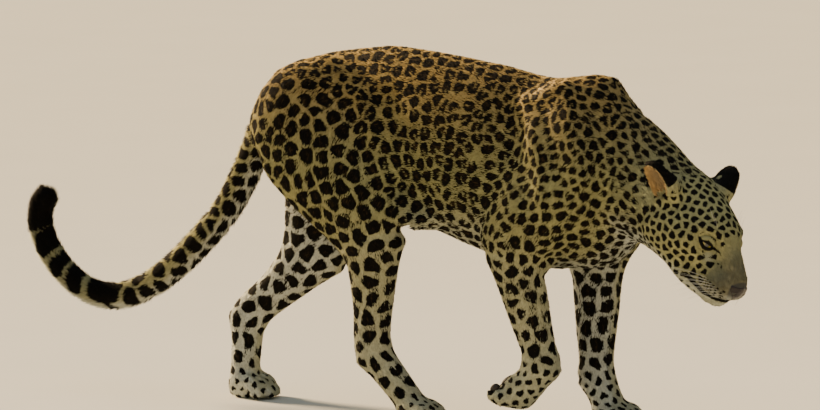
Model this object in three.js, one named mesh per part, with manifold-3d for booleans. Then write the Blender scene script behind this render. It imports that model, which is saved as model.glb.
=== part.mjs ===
// A life-size walking leopard, still, as a museum model shows it. Units are millimetres.
// +X is forward, +Y is the animal's left, +Z is up, and the paws that are down stand on z = 0.
// The body is one smooth form, fused from named muscles and bones, and parted by thin cuts.
import * as THREE from "three";
import { mergeVertices } from "three/addons/utils/BufferGeometryUtils.js";
import Module from "manifold-3d";

const wasm = await Module();
wasm.setup();

// Driving dimensions
const LOIN_HEIGHT = 697; // top of the back over the loin
const WITHERS_HEIGHT = 660; // top of the loaded shoulder blade
const HIP = { x: -228, y: 60, z: 545 };
const CHEST_HALF_WIDTH = 102;
const BELLY_HALF_WIDTH = 98;
const RUMP_HALF_WIDTH = 82;
const EYE_RADIUS = 15;
const EAR_LENGTH = 64;
const TAIL_ROOT_RADIUS = 28;
const TAIL_TIP_RADIUS = 21;
const GAP = 0.3; // between touching nodes
const CUT_MARGIN = 14; // how far a skin runs past a cut before it is trimmed
const LEFT = 1;
const RIGHT = -1;

// Vectors as plain arrays, which are quick to work with here
const add = (a, b) => [a[0] + b[0], a[1] + b[1], a[2] + b[2]];
const sub = (a, b) => [a[0] - b[0], a[1] - b[1], a[2] - b[2]];
const scale = (a, s) => [a[0] * s, a[1] * s, a[2] * s];
const dot = (a, b) => a[0] * b[0] + a[1] * b[1] + a[2] * b[2];
const cross = (a, b) => [
  a[1] * b[2] - a[2] * b[1],
  a[2] * b[0] - a[0] * b[2],
  a[0] * b[1] - a[1] * b[0],
];
const length = (a) => Math.hypot(a[0], a[1], a[2]);
const unit = (a) => scale(a, 1 / length(a));
const mix = (a, b, t) => add(a, scale(sub(b, a), t));
const radians = THREE.MathUtils.degToRad;
const smoothMin = (a, b, k) => {
  const h = Math.max(k - Math.abs(a - b), 0) / k;
  return Math.min(a, b) - (h * h * k) / 4;
};

// A turned and moved frame: toWorld and toLocal for points, turn for directions.
function frame(origin, yaw, pitch, roll) {
  const m = new THREE.Matrix4().makeRotationFromEuler(
    new THREE.Euler(radians(roll), radians(pitch), radians(yaw), "ZYX"),
  );
  const e = m.elements;
  return axesFrame(
    origin,
    [e[0], e[1], e[2]],
    [e[4], e[5], e[6]],
    [e[8], e[9], e[10]],
  );
}
function axesFrame(origin, x, y, z) {
  const turn = (p) => add(add(scale(x, p[0]), scale(y, p[1])), scale(z, p[2]));
  return {
    origin,
    x,
    y,
    z,
    turn,
    toWorld: (p) => add(origin, turn(p)),
    toLocal: (p) => {
      const d = sub(p, origin);
      return [dot(d, x), dot(d, y), dot(d, z)];
    },
  };
}

// An ellipsoid, in a frame of its own. Its distance is measured along the line from its centre.
function ball(centre, radii, axes) {
  const reach = Math.max(...radii);
  const small = Math.min(...radii);
  const [ax, ay, az] = axes || [
    [1, 0, 0],
    [0, 1, 0],
    [0, 0, 1],
  ];
  return {
    centre,
    reach,
    distance(p) {
      const d = sub(p, centre);
      const far = length(d);
      if (far < 1e-6) return -small;
      const k = Math.hypot(
        dot(d, ax) / radii[0],
        dot(d, ay) / radii[1],
        dot(d, az) / radii[2],
      );
      return far * (1 - 1 / k);
    },
  };
}

// A section carried along a smooth line. Each station is [x, y, z, fore, side, taper]: the half-depth
// in the plane of the bend, the half-width across it, and how much narrower the fore edge is than the back.
function sweep(stations, samples = 3) {
  const line = new THREE.CatmullRomCurve3(
    stations.map((s) => new THREE.Vector3(s[0], s[1], s[2])),
  );
  const sizes = new THREE.CatmullRomCurve3(
    stations.map((s) => new THREE.Vector3(s[3], s[4], s[5] || 0)),
  );
  const count = (stations.length - 1) * samples;
  const at = (t) => {
    const c = line.getPoint(t).toArray();
    const size = sizes.getPoint(t);
    const along = line.getTangent(t).toArray();
    const side = unit(sub([0, 1, 0], scale(along, along[1])));
    const fore = cross(along, side);
    return { c, a: size.x, b: size.y, taper: size.z, along, side, fore };
  };
  const points = Array.from({ length: count + 1 }, (_, i) => at(i / count));
  const middle = points[Math.floor(points.length / 2)].c;
  const reach = Math.max(
    ...points.map((q) => length(sub(q.c, middle)) + Math.max(q.a, q.b)),
  );
  const ends = points
    .slice(0, -1)
    .map((q, i) => sub(points[i + 1].c, q.c));
  const squares = ends.map((d) => dot(d, d));
  return {
    centre: middle,
    reach,
    at,
    distance(p) {
      let best = Infinity;
      for (let i = 0; i < ends.length; i++) {
        const q = points[i];
        const r = points[i + 1];
        const fromStart = sub(p, q.c);
        const t = Math.min(1, Math.max(0, dot(fromStart, ends[i]) / squares[i]));
        const d = sub(fromStart, scale(ends[i], t));
        const a = q.a + (r.a - q.a) * t;
        const b = q.b + (r.b - q.b) * t;
        const far = length(d);
        if (far < 1e-6) {
          best = Math.min(best, -Math.min(a, b));
          continue;
        }
        const taper = q.taper + (r.taper - q.taper) * t;
        const u = dot(d, q.fore) / a;
        const w = dot(d, q.along) / Math.min(a, b);
        const narrow = 1 - taper * Math.max(-1, Math.min(1, u));
        const v = dot(d, q.side) / (b * narrow);
        best = Math.min(best, far * (1 - 1 / Math.hypot(u, v, w)));
      }
      return best;
    },
  };
}

// Several forms as one, each [form, blend]. The blend is how softly it runs into those before it.
function fuse(parts) {
  const centre = parts[0][0].centre;
  const reach = Math.max(
    ...parts.map(([f]) => length(sub(f.centre, centre)) + f.reach),
  );
  return {
    centre,
    reach,
    distance(p) {
      let d = 1e3;
      for (const [form, blend] of parts) {
        const nearest = length(sub(p, form.centre)) - form.reach;
        if (nearest < d + blend) d = smoothMin(d, form.distance(p), blend);
      }
      return d;
    },
  };
}

// The same form seen in a turned frame
const placed = (form, at) => ({
  centre: at.toWorld(form.centre),
  reach: form.reach,
  distance: (p) => form.distance(at.toLocal(p)),
});

// Both sides of a form that is made for the left
const bothSides = (make) => [make(LEFT), make(RIGHT)];

// Trunk: rump, loin, ribs and chest, as one sweep from the tail's root to the base of the neck.
// Each section is [x, top, bottom, half-width, taper].
const TRUNK_SECTIONS = [
  [-338, 584, 500, 38, 0.1],
  [-310, 612, 462, 58, 0.15],
  [-258, 650, 432, 74, 0.2],
  [-190, 682, 408, RUMP_HALF_WIDTH, 0.22],
  [-105, LOIN_HEIGHT - 1, 392, 86, 0.22],
  [-25, LOIN_HEIGHT - 3, 376, 92, 0.2],
  [55, 685, 352, BELLY_HALF_WIDTH, 0.2],
  [135, 673, 326, CHEST_HALF_WIDTH, 0.22],
  [215, 658, 303, 98, 0.25],
  [290, 640, 298, 88, 0.28],
  [350, 625, 318, 78, 0.25],
];
const trunk = sweep(
  TRUNK_SECTIONS.map(([x, top, bottom, side, taper]) => [
    x,
    0,
    (top + bottom) / 2,
    (top - bottom) / 2,
    side,
    taper,
  ]),
);

// Neck: thick and muscular, carried low and a little to the right
const neck = sweep([
  [325, 0, 492, 150, 82, 0.15],
  [390, -3, 489, 124, 84, 0.1],
  [450, -12, 468, 102, 82, 0.05],
  [505, -24, 437, 88, 78, 0],
  [552, -36, 410, 74, 72, 0],
]);

// Head, in a frame of its own: x runs to the nose, z to the crown, and the origin is between the eyes.
const HEAD = frame([634, -62, 381], -18, 34, -10);
const EYE = { x: 2, y: 36, z: -1 };
const MOUTH_PROFILE = [
  [104, -64],
  [92, -68],
  [76, -73],
  [54, -75],
  [32, -73],
  [12, -69],
];
function headForm() {
  const skull = ball([-62, 0, 8], [78, 58, 50]);
  const forehead = ball([-14, 0, 13], [48, 44, 30]);
  const occiput = ball([-112, 0, 14], [48, 50, 46]);
  const bridge = sweep([
    [-12, 0, 10, 20, 28],
    [36, 0, -1, 19, 23],
    [82, 0, -24, 15, 19],
  ]);
  const muzzle = sweep([
    [4, 0, -34, 34, 44],
    [42, 0, -41, 31, 40],
    [72, 0, -46, 24, 33],
  ]);
  const noseTip = ball([88, 0, -38], [14, 20, 15]);
  const chin = ball([54, 0, -81], [25, 24, 14]);
  const throat = ball([-72, 0, -62], [62, 44, 32]);
  const jawFloor = ball([16, 0, -66], [66, 34, 24]);
  const sides = bothSides((s) => [
    [ball([-42, s * 45, -20], [50, 37, 42]), 24],
    [ball([-84, s * 40, -34], [46, 40, 46]), 26],
    [ball([-6, s * 37, 19], [25, 17, 10]), 10],
    [ball([EYE.x, s * EYE.y, EYE.z], [20, 19, 17]), 8],
    [ball([64, s * 24, -52], [27, 23, 21]), 12],
    [
      sweep([
        [-58, s * 46, -56, 26, 22],
        [6, s * 36, -74, 20, 18],
        [50, s * 13, -83, 13, 14],
      ]),
      16,
    ],
    [
      sweep([
        [20, s * 40, -77, 6, 6],
        [50, s * 33, -81, 6, 6],
        [72, s * 12, -79, 6, 6],
      ]),
      5,
    ],
  ]);
  return fuse([
    [skull, 1],
    [forehead, 22],
    [occiput, 28],
    [bridge, 16],
    [muzzle, 16],
    [throat, 26],
    [jawFloor, 16],
    ...sides[0],
    ...sides[1],
    [chin, 12],
    [noseTip, 8],
  ]);
}
const headLocal = headForm();
const head = placed(headLocal, HEAD);

// Ears, each a cup in a frame of its own: x runs up the ear and z out of its opening. The right ear
// is swivelled out and back.
const EARS = [
  { side: LEFT, root: [-94, 56, 33], up: [-0.42, 0.47, 0.78], facing: [0.1, 0.9, 0.1] },
  { side: RIGHT, root: [-110, -70, 25], up: [-0.64, -0.6, 0.48], facing: [-0.29, -0.95, -0.12] },
];
function earFrame({ root, up, facing }) {
  const x = unit(HEAD.turn(up));
  const across = unit(cross(HEAD.turn(facing), x));
  return axesFrame(HEAD.toWorld(root), x, across, cross(x, across));
}
const earForm = fuse([
  [ball([18, 0, 0], [EAR_LENGTH - 18, 31, 18]), 1],
  [ball([-2, 0, -6], [28, 29, 24]), 14],
]);
const EAR_HOLLOW = { centre: [25, 0, 14], radii: [EAR_LENGTH - 31, 25, 22] };
const ears = EARS.map((ear) => ({ side: ear.side, at: earFrame(ear) }));

// Legs. Each joint is placed from the one above it: a length, how far forward of straight down it
// points, and how far out.
function hang(from, side, long, forward, out) {
  const f = radians(forward);
  const o = radians(out);
  return add(from, [
    long * Math.sin(f) * Math.cos(o),
    side * long * Math.sin(o),
    -long * Math.cos(f) * Math.cos(o),
  ]);
}
const FEMUR = 255;
const TIBIA = 226;
const HUMERUS = 190;
const RADIUS = 216;

function hindLeg(side, thighSwing, shankSwing, foot) {
  const hip = [HIP.x, side * HIP.y, HIP.z];
  const knee = hang(hip, side, FEMUR, thighSwing, 6.5);
  const hock = hang(knee, side, TIBIA, shankSwing, -3);
  return { side, hip, knee, hock, foot };
}
const hindRight = hindLeg(RIGHT, 41, -4, [14, -80, 36]);
const hindLeft = hindLeg(LEFT, -10, -50, [-441, 66, 36]);

function foreLeg(side, bladeTop, shoulder, armSwing, forearmSwing, foot) {
  const elbow = hang(shoulder, side, HUMERUS, armSwing, 2);
  const wrist = hang(elbow, side, RADIUS, forearmSwing, -5);
  return { side, bladeTop, shoulder, elbow, wrist, foot };
}
const foreRight = foreLeg(
  RIGHT,
  [290, -46, 628],
  [352, -82, 478],
  -43,
  15,
  [236, -74, 74],
);
const foreLeft = foreLeg(
  LEFT,
  [336, 34, WITHERS_HEIGHT - 20],
  [400, 82, 472],
  -31,
  3,
  [344, 70, 36],
);

// A paw in its own frame: x to the toes, z to the back of the foot, and the origin at the toes' joint.
function pawForm(width, toeLength, curl) {
  const spread = [-0.36, -0.13, 0.13, 0.36];
  const toeHalf = width * 0.152;
  const toes = spread.map((f) => {
    const y = f * width;
    const forward = toeLength * (Math.abs(f) < 0.2 ? 1 : 0.82);
    return [
      sweep([
        [-4, y * 0.8, -2, 15, toeHalf],
        [forward * 0.45, y, -6 - curl * 0.3, 16, toeHalf * 1.05],
        [forward - 14, y * 1.06, -24 - curl, 13.5, toeHalf],
      ]),
      5,
    ];
  });
  const palm = ball([-6, 0, -14], [width * 0.36, width * 0.41, 24]);
  const pad = ball([4, 0, -27], [width * 0.3, width * 0.32, 13]);
  return fuse([[palm, 1], [pad, 8], ...toes]);
}
const FORE_PAW = pawForm(90, 72, 0);
const HIND_PAW = pawForm(80, 70, 0);
const LIFTED_PAW = pawForm(86, 56, 6);

const pawFrame = (foot, pitch, yaw) => frame(foot, yaw, pitch, 0);
const pawFrames = {
  foreRight: pawFrame(foreRight.foot, 140, 0),
  foreLeft: pawFrame(foreLeft.foot, 0, -6),
  hindRight: pawFrame(hindRight.foot, 0, 2),
  hindLeft: pawFrame(hindLeft.foot, 0, 0),
};

function hindForms(leg, paw, pawAt, thighRear) {
  const { side, hip, knee, hock, foot } = leg;
  const at = (p, dx, dy, dz, a, b, taper) => [
    ...add(p, [dx, side * dy, dz]),
    a,
    b,
    taper || 0,
  ];
  const midThigh = mix(hip, knee, 0.48);
  const midShank = mix(knee, hock, 0.48);
  const lowShank = mix(knee, hock, 0.8);
  const heel = add(hock, scale(unit(sub(hock, foot)), 26));
  const thigh = sweep([
    at(hip, 20, -14, 66, 92, 50),
    at(hip, 0, 4, 0, 112, 58, 0.1),
    at(midThigh, -4, 8, 0, 92, 54, 0.1),
    at(knee, -14, 2, 30, 68, 47),
    at(knee, -4, 0, -8, 56, 42),
  ]);
  const ham = sweep([
    at(hip, -92, -14, 6, 40, 34),
    at(mix(hip, knee, 0.35), -86 + thighRear, 2, -6, 50, 38),
    at(mix(knee, hock, 0.16), -30, -2, 4, 44, 32),
    at(midShank, -14, -2, 0, 30, 24),
  ]);
  const shank = sweep([
    at(knee, 0, 0, 2, 52, 40),
    at(midShank, -2, 0, 0, 42, 32),
    at(lowShank, -2, 0, 0, 36, 27),
    at(hock, 0, 0, -2, 36, 28),
  ]);
  const achilles = sweep([
    at(midShank, -22, 0, 0, 16, 17),
    [...heel, 18, 17],
    [...mix(hock, foot, 0.3), 16, 18],
  ]);
  const cannon = sweep([
    at(hock, 0, 0, 0, 35, 28),
    at(mix(hock, foot, 0.5), 0, 0, 0, 30, 28),
    at(foot, -4, 0, 0, 26, 32),
  ]);
  return [
    [thigh, 34],
    [ham, 30],
    [shank, 24],
    [achilles, 14],
    [cannon, 14],
    [placed(paw, pawAt), 12],
  ];
}

function foreForms(leg, paw, pawAt) {
  const { side, bladeTop, shoulder, elbow, wrist, foot } = leg;
  const at = (p, dx, dy, dz, a, b, taper) => [
    ...add(p, [dx, side * dy, dz]),
    a,
    b,
    taper || 0,
  ];
  const midBlade = mix(bladeTop, shoulder, 0.5);
  const blade = sweep([
    at(bladeTop, 0, 0, 0, 38, 20),
    at(midBlade, -6, 8, 0, 62, 34),
    at(shoulder, -8, 6, 0, 62, 40),
    at(mix(shoulder, elbow, 0.5), -2, 8, 0, 62, 42),
    at(elbow, 4, 0, 6, 52, 40),
  ]);
  const triceps = sweep([
    at(midBlade, -52, 8, -30, 34, 30),
    at(mix(shoulder, elbow, 0.55), -50, 8, 6, 42, 34),
    at(elbow, -34, 0, 18, 26, 28),
  ]);
  const forearm = sweep([
    at(elbow, 0, 0, -2, 52, 38),
    at(mix(elbow, wrist, 0.28), 2, 0, 0, 48, 37),
    at(mix(elbow, wrist, 0.62), 0, 0, 0, 40, 33),
    at(mix(elbow, wrist, 0.86), 0, 0, 0, 34, 30),
    at(wrist, 0, 0, 0, 34, 31),
  ]);
  const pisiform = ball(add(wrist, [-24, side * 4, 2]), [14, 13, 15]);
  const cannon = sweep([
    at(wrist, 0, 0, 0, 33, 31),
    at(mix(wrist, foot, 0.5), 0, 0, 0, 31, 33),
    at(foot, 0, 0, 0, 28, 36),
  ]);
  return [
    [blade, 30],
    [triceps, 26],
    [forearm, 22],
    [pisiform, 10],
    [cannon, 14],
    [placed(paw, pawAt), 12],
  ];
}

// Tail: hangs from the rump, runs back low and turns up at its end
const TAIL_LINE = [
  [-312, 0, 580],
  [-350, 0, 532],
  [-380, 2, 480],
  [-411, 4, 420],
  [-450, 6, 360],
  [-508, 8, 299],
  [-568, 9, 245],
  [-632, 9, 203],
  [-692, 7, 183],
  [-748, 3, 188],
  [-798, -3, 218],
  [-834, -10, 262],
  [-851, -16, 310],
  [-846, -20, 350],
  [-836, -22, 364],
];
const tail = sweep(
  TAIL_LINE.map((p, i) => {
    const t = i / (TAIL_LINE.length - 1);
    const root = 6 * Math.max(0, 1 - t * 7);
    const r = TAIL_ROOT_RADIUS + (TAIL_TIP_RADIUS - TAIL_ROOT_RADIUS) * t ** 0.7;
    return [...p, r + root, r + root * 0.6];
  }),
  4,
);

// The skin fold from the flank to the near knee, and the withers between the blades
const flankFold = sweep([
  [40, -74, 385, 22, 22],
  [-10, -86, 382, 30, 24],
  [-44, -92, 372, 30, 28],
]);
const withers = ball([318, 0, 600], [95, 44, 52]);
const brisket = ball([362, 0, 380], [62, 58, 66]);

const body = fuse([
  [trunk, 1],
  [neck, 40],
  [withers, 30],
  [brisket, 40],
  ...hindForms(hindLeft, HIND_PAW, pawFrames.hindLeft, 26),
  ...hindForms(hindRight, HIND_PAW, pawFrames.hindRight, 0),
  ...foreForms(foreLeft, FORE_PAW, pawFrames.foreLeft),
  ...foreForms(foreRight, LIFTED_PAW, pawFrames.foreRight),
  [flankFold, 24],
  [tail, 22],
  [head, 26],
  ...ears.map(({ at }) => [placed(earForm, at), 10]),
]);

// Cuts. A region is a list of planes, each a point and a normal that points out of the region.
const plane = (point, normal) => ({ point, normal: unit(normal) });
const flip = (q) => ({ point: q.point, normal: scale(q.normal, -1) });
const outside = (region, p) =>
  Math.max(...region.map((q) => dot(sub(p, q.point), q.normal)));

// A three.js geometry as a manifold-3d solid
function solidOf(source) {
  const geometry = source.clone();
  geometry.deleteAttribute("normal");
  geometry.deleteAttribute("uv");
  const merged = mergeVertices(geometry, 1e-3);
  const made = (triVerts) =>
    new wasm.Manifold(
      new wasm.Mesh({
        numProp: 3,
        vertProperties: merged.attributes.position.array,
        triVerts,
      }),
    );
  const faces = new Uint32Array(merged.index.array);
  const first = made(faces);
  return first.volume() > 0 ? first : made(faces.slice().reverse());
}

// A big block that lies wholly beyond a plane, moved out by a small offset
const BLOCK = 3000;
const WELD = 0.02;
function beyond(q, offset) {
  const geometry = new THREE.BoxGeometry(BLOCK, BLOCK, BLOCK);
  const turn = new THREE.Quaternion().setFromUnitVectors(
    new THREE.Vector3(0, 0, 1),
    new THREE.Vector3(...q.normal),
  );
  const centre = add(q.point, scale(q.normal, BLOCK / 2 + offset));
  geometry.applyQuaternion(turn);
  geometry.translate(...centre);
  return solidOf(geometry);
}
const trimTo = (made, region) =>
  region.reduce((m, q) => m.subtract(beyond(q, -GAP / 2)), made);
function block(region) {
  const geometry = new THREE.BoxGeometry(BLOCK, BLOCK, BLOCK);
  return region.reduce(
    (m, q) => m.subtract(beyond(q, GAP / 2)),
    solidOf(geometry),
  );
}
function largest(made) {
  const bodies = made.decompose();
  return bodies.sort((a, b) => b.volume() - a.volume())[0];
}

// The point of the surface nearest to p
function drawnOnto(p) {
  let q = p;
  for (let step = 0; step < 3; step++) {
    const d = body.distance(q);
    const rise = [0, 1, 2].map((axis) => {
      const moved = q.slice();
      moved[axis] += 0.5;
      return body.distance(moved) - d;
    });
    q = sub(q, scale(unit(rise), d));
  }
  return q;
}

// Gives one group to the crossings that one sheet of the surface makes in a cell. Where two inside corners
// face each other across a diagonal only, the sheets around them stay apart.
function groupSheets(crossings) {
  for (const side of [0, 1])
    for (const axis of [0, 1, 2]) {
      const onFace = crossings.filter((x) => x.axis !== axis && x.c[axis] === side);
      for (const a of onFace)
        for (const b of onFace) {
          if (onFace.length === 4 && a.c !== b.c) continue;
          const old = b.group;
          for (const x of crossings) if (x.group === old) x.group = a.group;
        }
    }
}

// A net over the part of the surface inside a box, with square cells. Each cell has one point for each
// sheet of the surface in it, and each grid edge that the surface crosses joins the four cells around it.
function netSkin(min, max, cell) {
  const size = [0, 1, 2].map((i) => Math.ceil((max[i] - min[i]) / cell) + 1);
  const step = [1, size[0], size[0] * size[1]];
  const place = (node) => [
    min[0] + (node % size[0]) * cell,
    min[1] + (Math.floor(node / step[1]) % size[1]) * cell,
    min[2] + Math.floor(node / step[2]) * cell,
  ];
  const onRim = (node) =>
    place(node).some(
      (x, i) => x < min[i] + cell / 2 || x > min[i] + (size[i] - 1.5) * cell,
    );
  const count = step[2] * size[2];
  const value = Float64Array.from({ length: count }, (_, node) =>
    onRim(node) ? cell : body.distance(place(node)),
  );
  const corners = [0, 1, 2, 3, 4, 5, 6, 7].map((n) => [n & 1, (n >> 1) & 1, n >> 2]);
  const offset = (corner) => dot(corner, step);
  const points = [];
  const pointOf = new Map();
  for (let node = 0; node + offset([1, 1, 1]) < count; node++) {
    const inside = corners.filter((c) => value[node + offset(c)] < 0);
    if (inside.length === 0 || inside.length === 8) continue;
    const crossings = [];
    for (const c of inside)
      for (const axis of [0, 1, 2]) {
        const other = c.slice();
        other[axis] = 1 - c[axis];
        const from = value[node + offset(c)];
        const to = value[node + offset(other)];
        if (to < 0) continue;
        const t = from / (from - to);
        const at = add(place(node), scale(mix(c, other, t), cell));
        const edge = node + Math.min(offset(c), offset(other));
        crossings.push({ c, axis, at, edge, group: crossings.length });
      }
    groupSheets(crossings);
    const nearRim = corners.some((c) => onRim(node + offset(c)));
    for (const group of new Set(crossings.map((x) => x.group))) {
      const sheet = crossings.filter((x) => x.group === group);
      const mean = scale(sheet.map((x) => x.at).reduce(add), 1 / sheet.length);
      const point = points.push(nearRim ? mean : drawnOnto(mean)) - 1;
      for (const { edge, axis } of sheet) pointOf.set([node, edge, axis].join(), point);
    }
  }
  const faces = [];
  for (let node = 0; node < count; node++)
    for (const axis of [0, 1, 2]) {
      const next = node + step[axis];
      const leaving = value[node] < 0;
      if (next >= count || leaving === value[next] < 0) continue;
      const u = step[(axis + 1) % 3];
      const v = step[(axis + 2) % 3];
      const cells = [node, node - u, node - u - v, node - v];
      const around = cells.map((n) => pointOf.get([n, node, axis].join()));
      const [a, b, c, d] = leaving ? around : around.reverse();
      const even = length(sub(points[a], points[c])) < length(sub(points[b], points[d]));
      faces.push(even ? [a, b, c] : [b, c, d], even ? [a, c, d] : [b, d, a]);
    }
  return meshSolid(points, faces);
}
function meshSolid(points, faces) {
  const geometry = new THREE.BufferGeometry();
  const position = new Float32Array(points.flat());
  geometry.setAttribute("position", new THREE.BufferAttribute(position, 3));
  geometry.setIndex(faces.flat());
  return solidOf(geometry);
}
function netAround(points, margin, cell) {
  const low = [0, 1, 2].map((i) => Math.min(...points.map((p) => p[i])) - margin);
  const high = [0, 1, 2].map((i) => Math.max(...points.map((p) => p[i])) + margin);
  return netSkin(low, high, cell);
}

// A skin of rings along an axis, for the long bones and the tail: rays run out from each ring's centre
function cast(from, way, signed) {
  let r = 0;
  let d = signed(from);
  if (d > 0) throw new Error("a ray starts outside the body at " + from.map(Math.round));
  while (d < 0) {
    r += Math.max(0.9, -d * 0.55);
    d = signed(add(from, scale(way, r)));
  }
  let low = Math.max(0, r - 90);
  let high = r;
  if (signed(add(from, scale(way, low))) > 0) low = 0;
  for (let i = 0; i < 16; i++) {
    const m = (low + high) / 2;
    if (signed(add(from, scale(way, m))) < 0) low = m;
    else high = m;
  }
  return add(from, scale(way, low));
}
function ringSkin(axis, around, domes, region) {
  const signed = (p) => Math.max(body.distance(p), outside(region, p) - CUT_MARGIN);
  const ring = (q, lift) =>
    Array.from({ length: around }, (_, j) => {
      const f = (2 * Math.PI * j) / around;
      const flat = add(scale(q.side, Math.cos(f)), scale(q.fore, Math.sin(f)));
      const way = mix(flat, q.along, lift);
      return cast(q.c, unit(way), signed);
    });
  const first = axis[0];
  const last = axis[axis.length - 1];
  const lifts = Array.from({ length: domes }, (_, i) => (i + 1) / (domes + 1));
  const back = { ...first, along: scale(first.along, -1) };
  const rings = [
    ...lifts.map((lift) => ring(back, lift)).reverse(),
    ...axis.map((q) => ring(q, 0)),
    ...lifts.map((lift) => ring(last, lift)),
  ];
  const points = rings.flat();
  const start = points.push(cast(first.c, back.along, signed)) - 1;
  const end = points.push(cast(last.c, last.along, signed)) - 1;
  const faces = [];
  for (let i = 0; i < rings.length - 1; i++)
    for (let j = 0; j < around; j++) {
      const a = i * around + j;
      const b = i * around + ((j + 1) % around);
      faces.push([a, b, b + around], [a, b + around, a + around]);
    }
  const tip = (rings.length - 1) * around;
  for (let j = 0; j < around; j++) {
    const k = (j + 1) % around;
    faces.push([start, k, j], [end, tip + j, tip + k]);
  }
  return meshSolid(points, faces);
}
function straight(from, to, steps) {
  const along = unit(sub(to, from));
  const side = unit(sub([0, 1, 0], scale(along, along[1])));
  const fore = cross(along, side);
  return Array.from({ length: steps + 1 }, (_, i) => ({
    c: mix(from, to, i / steps),
    along,
    side,
    fore,
  }));
}

// Materials, in the colours of the coat in open shade
const material = (colour, roughness) =>
  new THREE.MeshStandardMaterial({ color: colour, roughness, metalness: 0 });
const coatTawny = material("#b08d55", 0.85);
const coatPale = material("#cfc4a2", 0.85);
const noseLeather = material("#6e4a40", 0.55);
const eyeball = material("#8a7a3a", 0.1);

const animal = new THREE.Group();
// Points closer than WELD become one, and faces that this flattens or lays on one another are left out
function welded(mesh) {
  const stride = mesh.numProp;
  const seen = new Map();
  const points = [];
  const pointOf = Array.from({ length: mesh.numVert }, (_, i) => {
    const p = [...mesh.vertProperties.subarray(i * stride, i * stride + 3)];
    const key = p.map((x) => Math.round(x / WELD)).join();
    if (!seen.has(key)) seen.set(key, points.push(p) - 1);
    return seen.get(key);
  });
  const faces = new Map();
  for (let i = 0; i < mesh.triVerts.length; i += 3) {
    const face = [...mesh.triVerts.subarray(i, i + 3)].map((v) => pointOf[v]);
    if (new Set(face).size < 3) continue;
    const key = face.slice().sort().join();
    if (faces.has(key)) faces.delete(key);
    else faces.set(key, face);
  }
  return meshSolid(points, [...faces.values()]);
}
function addNode(name, made, look) {
  const mesh = largest(welded(largest(made).getMesh())).getMesh();
  const geometry = new THREE.BufferGeometry();
  const position = new THREE.BufferAttribute(mesh.vertProperties.slice(), 3);
  geometry.setAttribute("position", position);
  geometry.setIndex(new THREE.BufferAttribute(mesh.triVerts.slice(), 1));
  geometry.computeVertexNormals();
  const node = new THREE.Mesh(geometry, look);
  node.name = name;
  animal.add(node);
}

// Cut planes of the trunk, and the wedges that the legs take out of it
const CROTCH_HEIGHT = 398;
const floor = plane([0, 0, -GAP / 2], [0, 0, -1]); // a trim stops half a gap short of it
const tailPlane = plane([-352, 0, 545], [-0.62, 0, -0.785]);
const tailRegion = [
  flip(tailPlane),
  plane([-328, 0, 534], [0.904, 0, -0.427]), // between the tail's root and the buttocks
  plane([0, 40, 0], [0, 1, 0]),
  plane([0, -40, 0], [0, -1, 0]),
];
const haunchPlane = plane([-135, 0, 0], [1, 0, 0]);
const ribPlane = plane([105, 0, 0], [1, 0, 0]);
const neckPlane = plane([418, 0, 480], [-1, 0, 0]);
const headPlane = plane(HEAD.toWorld([-108, 0, 0]), scale(HEAD.x, -1));
const hindRegion = (side, front) => [
  plane([0, 0, CROTCH_HEIGHT], [0, -side * 250, 96]),
  plane([0, 0, 0], [0, -side, 0]),
  front,
];
const foreRegion = (side, rear) => [
  plane([0, side * 46, 285], [0, -side * 330, 34]),
  rear,
  flip(neckPlane),
];
const hindRightRegion = hindRegion(RIGHT, plane([2, 0, 385], [0.885, 0, 0.465]));
const hindLeftRegion = hindRegion(LEFT, plane([-178, 0, 400], [0.97, 0, -0.24]));
const foreRightRegion = foreRegion(RIGHT, plane([152, 0, 330], [-0.94, 0, 0.34]));
const foreLeftRegion = foreRegion(LEFT, plane([212, 0, 330], [-0.98, 0, 0.2]));

// Trunk and neck
const torso = netSkin([-378, -162, 236], [612, 162, 722], 27).subtract(
  block(tailRegion),
);
const trunkNode = (name, region) =>
  addNode(
    name,
    [hindRightRegion, hindLeftRegion, foreRightRegion, foreLeftRegion].reduce(
      (m, leg) => m.subtract(block(leg)),
      trimTo(torso, region),
    ),
    coatTawny,
  );
trunkNode("pelvis", [haunchPlane]);
trunkNode("loin", [flip(haunchPlane), ribPlane]);
trunkNode("chest", [flip(ribPlane), flip(neckPlane)]);
let neckSolid = trimTo(torso, [neckPlane, flip(headPlane)]);

// Legs. A joint is cut along the bisector of the bones that meet there.
const jointPlane = (above, joint, below) =>
  plane(joint, add(unit(sub(joint, above)), unit(sub(below, joint))));
const TOES = [60, 0, -20];

function hindNodes(leg, region, pawAt, suffix) {
  const { hip, knee, hock, foot } = leg;
  const toes = pawAt.toWorld(TOES);
  const kneePlane = jointPlane(hip, knee, hock);
  const hockPlane = jointPlane(knee, hock, foot);
  const toePlane = jointPlane(hock, foot, toes);
  const thigh = trimTo(torso, [...region, kneePlane]);
  addNode("thigh_" + suffix, thigh, coatTawny);
  const shankRegion = [region[2], flip(kneePlane), hockPlane];
  const shankAxis = straight(mix(knee, hock, 0.04), mix(knee, hock, 0.97), 8);
  const shank = ringSkin(shankAxis, 16, 1, shankRegion);
  addNode("shank_" + suffix, trimTo(shank, shankRegion), coatPale);
  const lower = netAround([hock, foot, toes], 58, 14);
  const metatarsus = trimTo(lower, [flip(hockPlane), toePlane, floor]);
  addNode("metatarsus_" + suffix, metatarsus, coatPale);
  const paw = trimTo(lower, [flip(toePlane), flip(hockPlane), floor]);
  addNode("hind_paw_" + suffix, paw, coatPale);
}
hindNodes(hindLeft, hindLeftRegion, pawFrames.hindLeft, "left");
hindNodes(hindRight, hindRightRegion, pawFrames.hindRight, "right");

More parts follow.
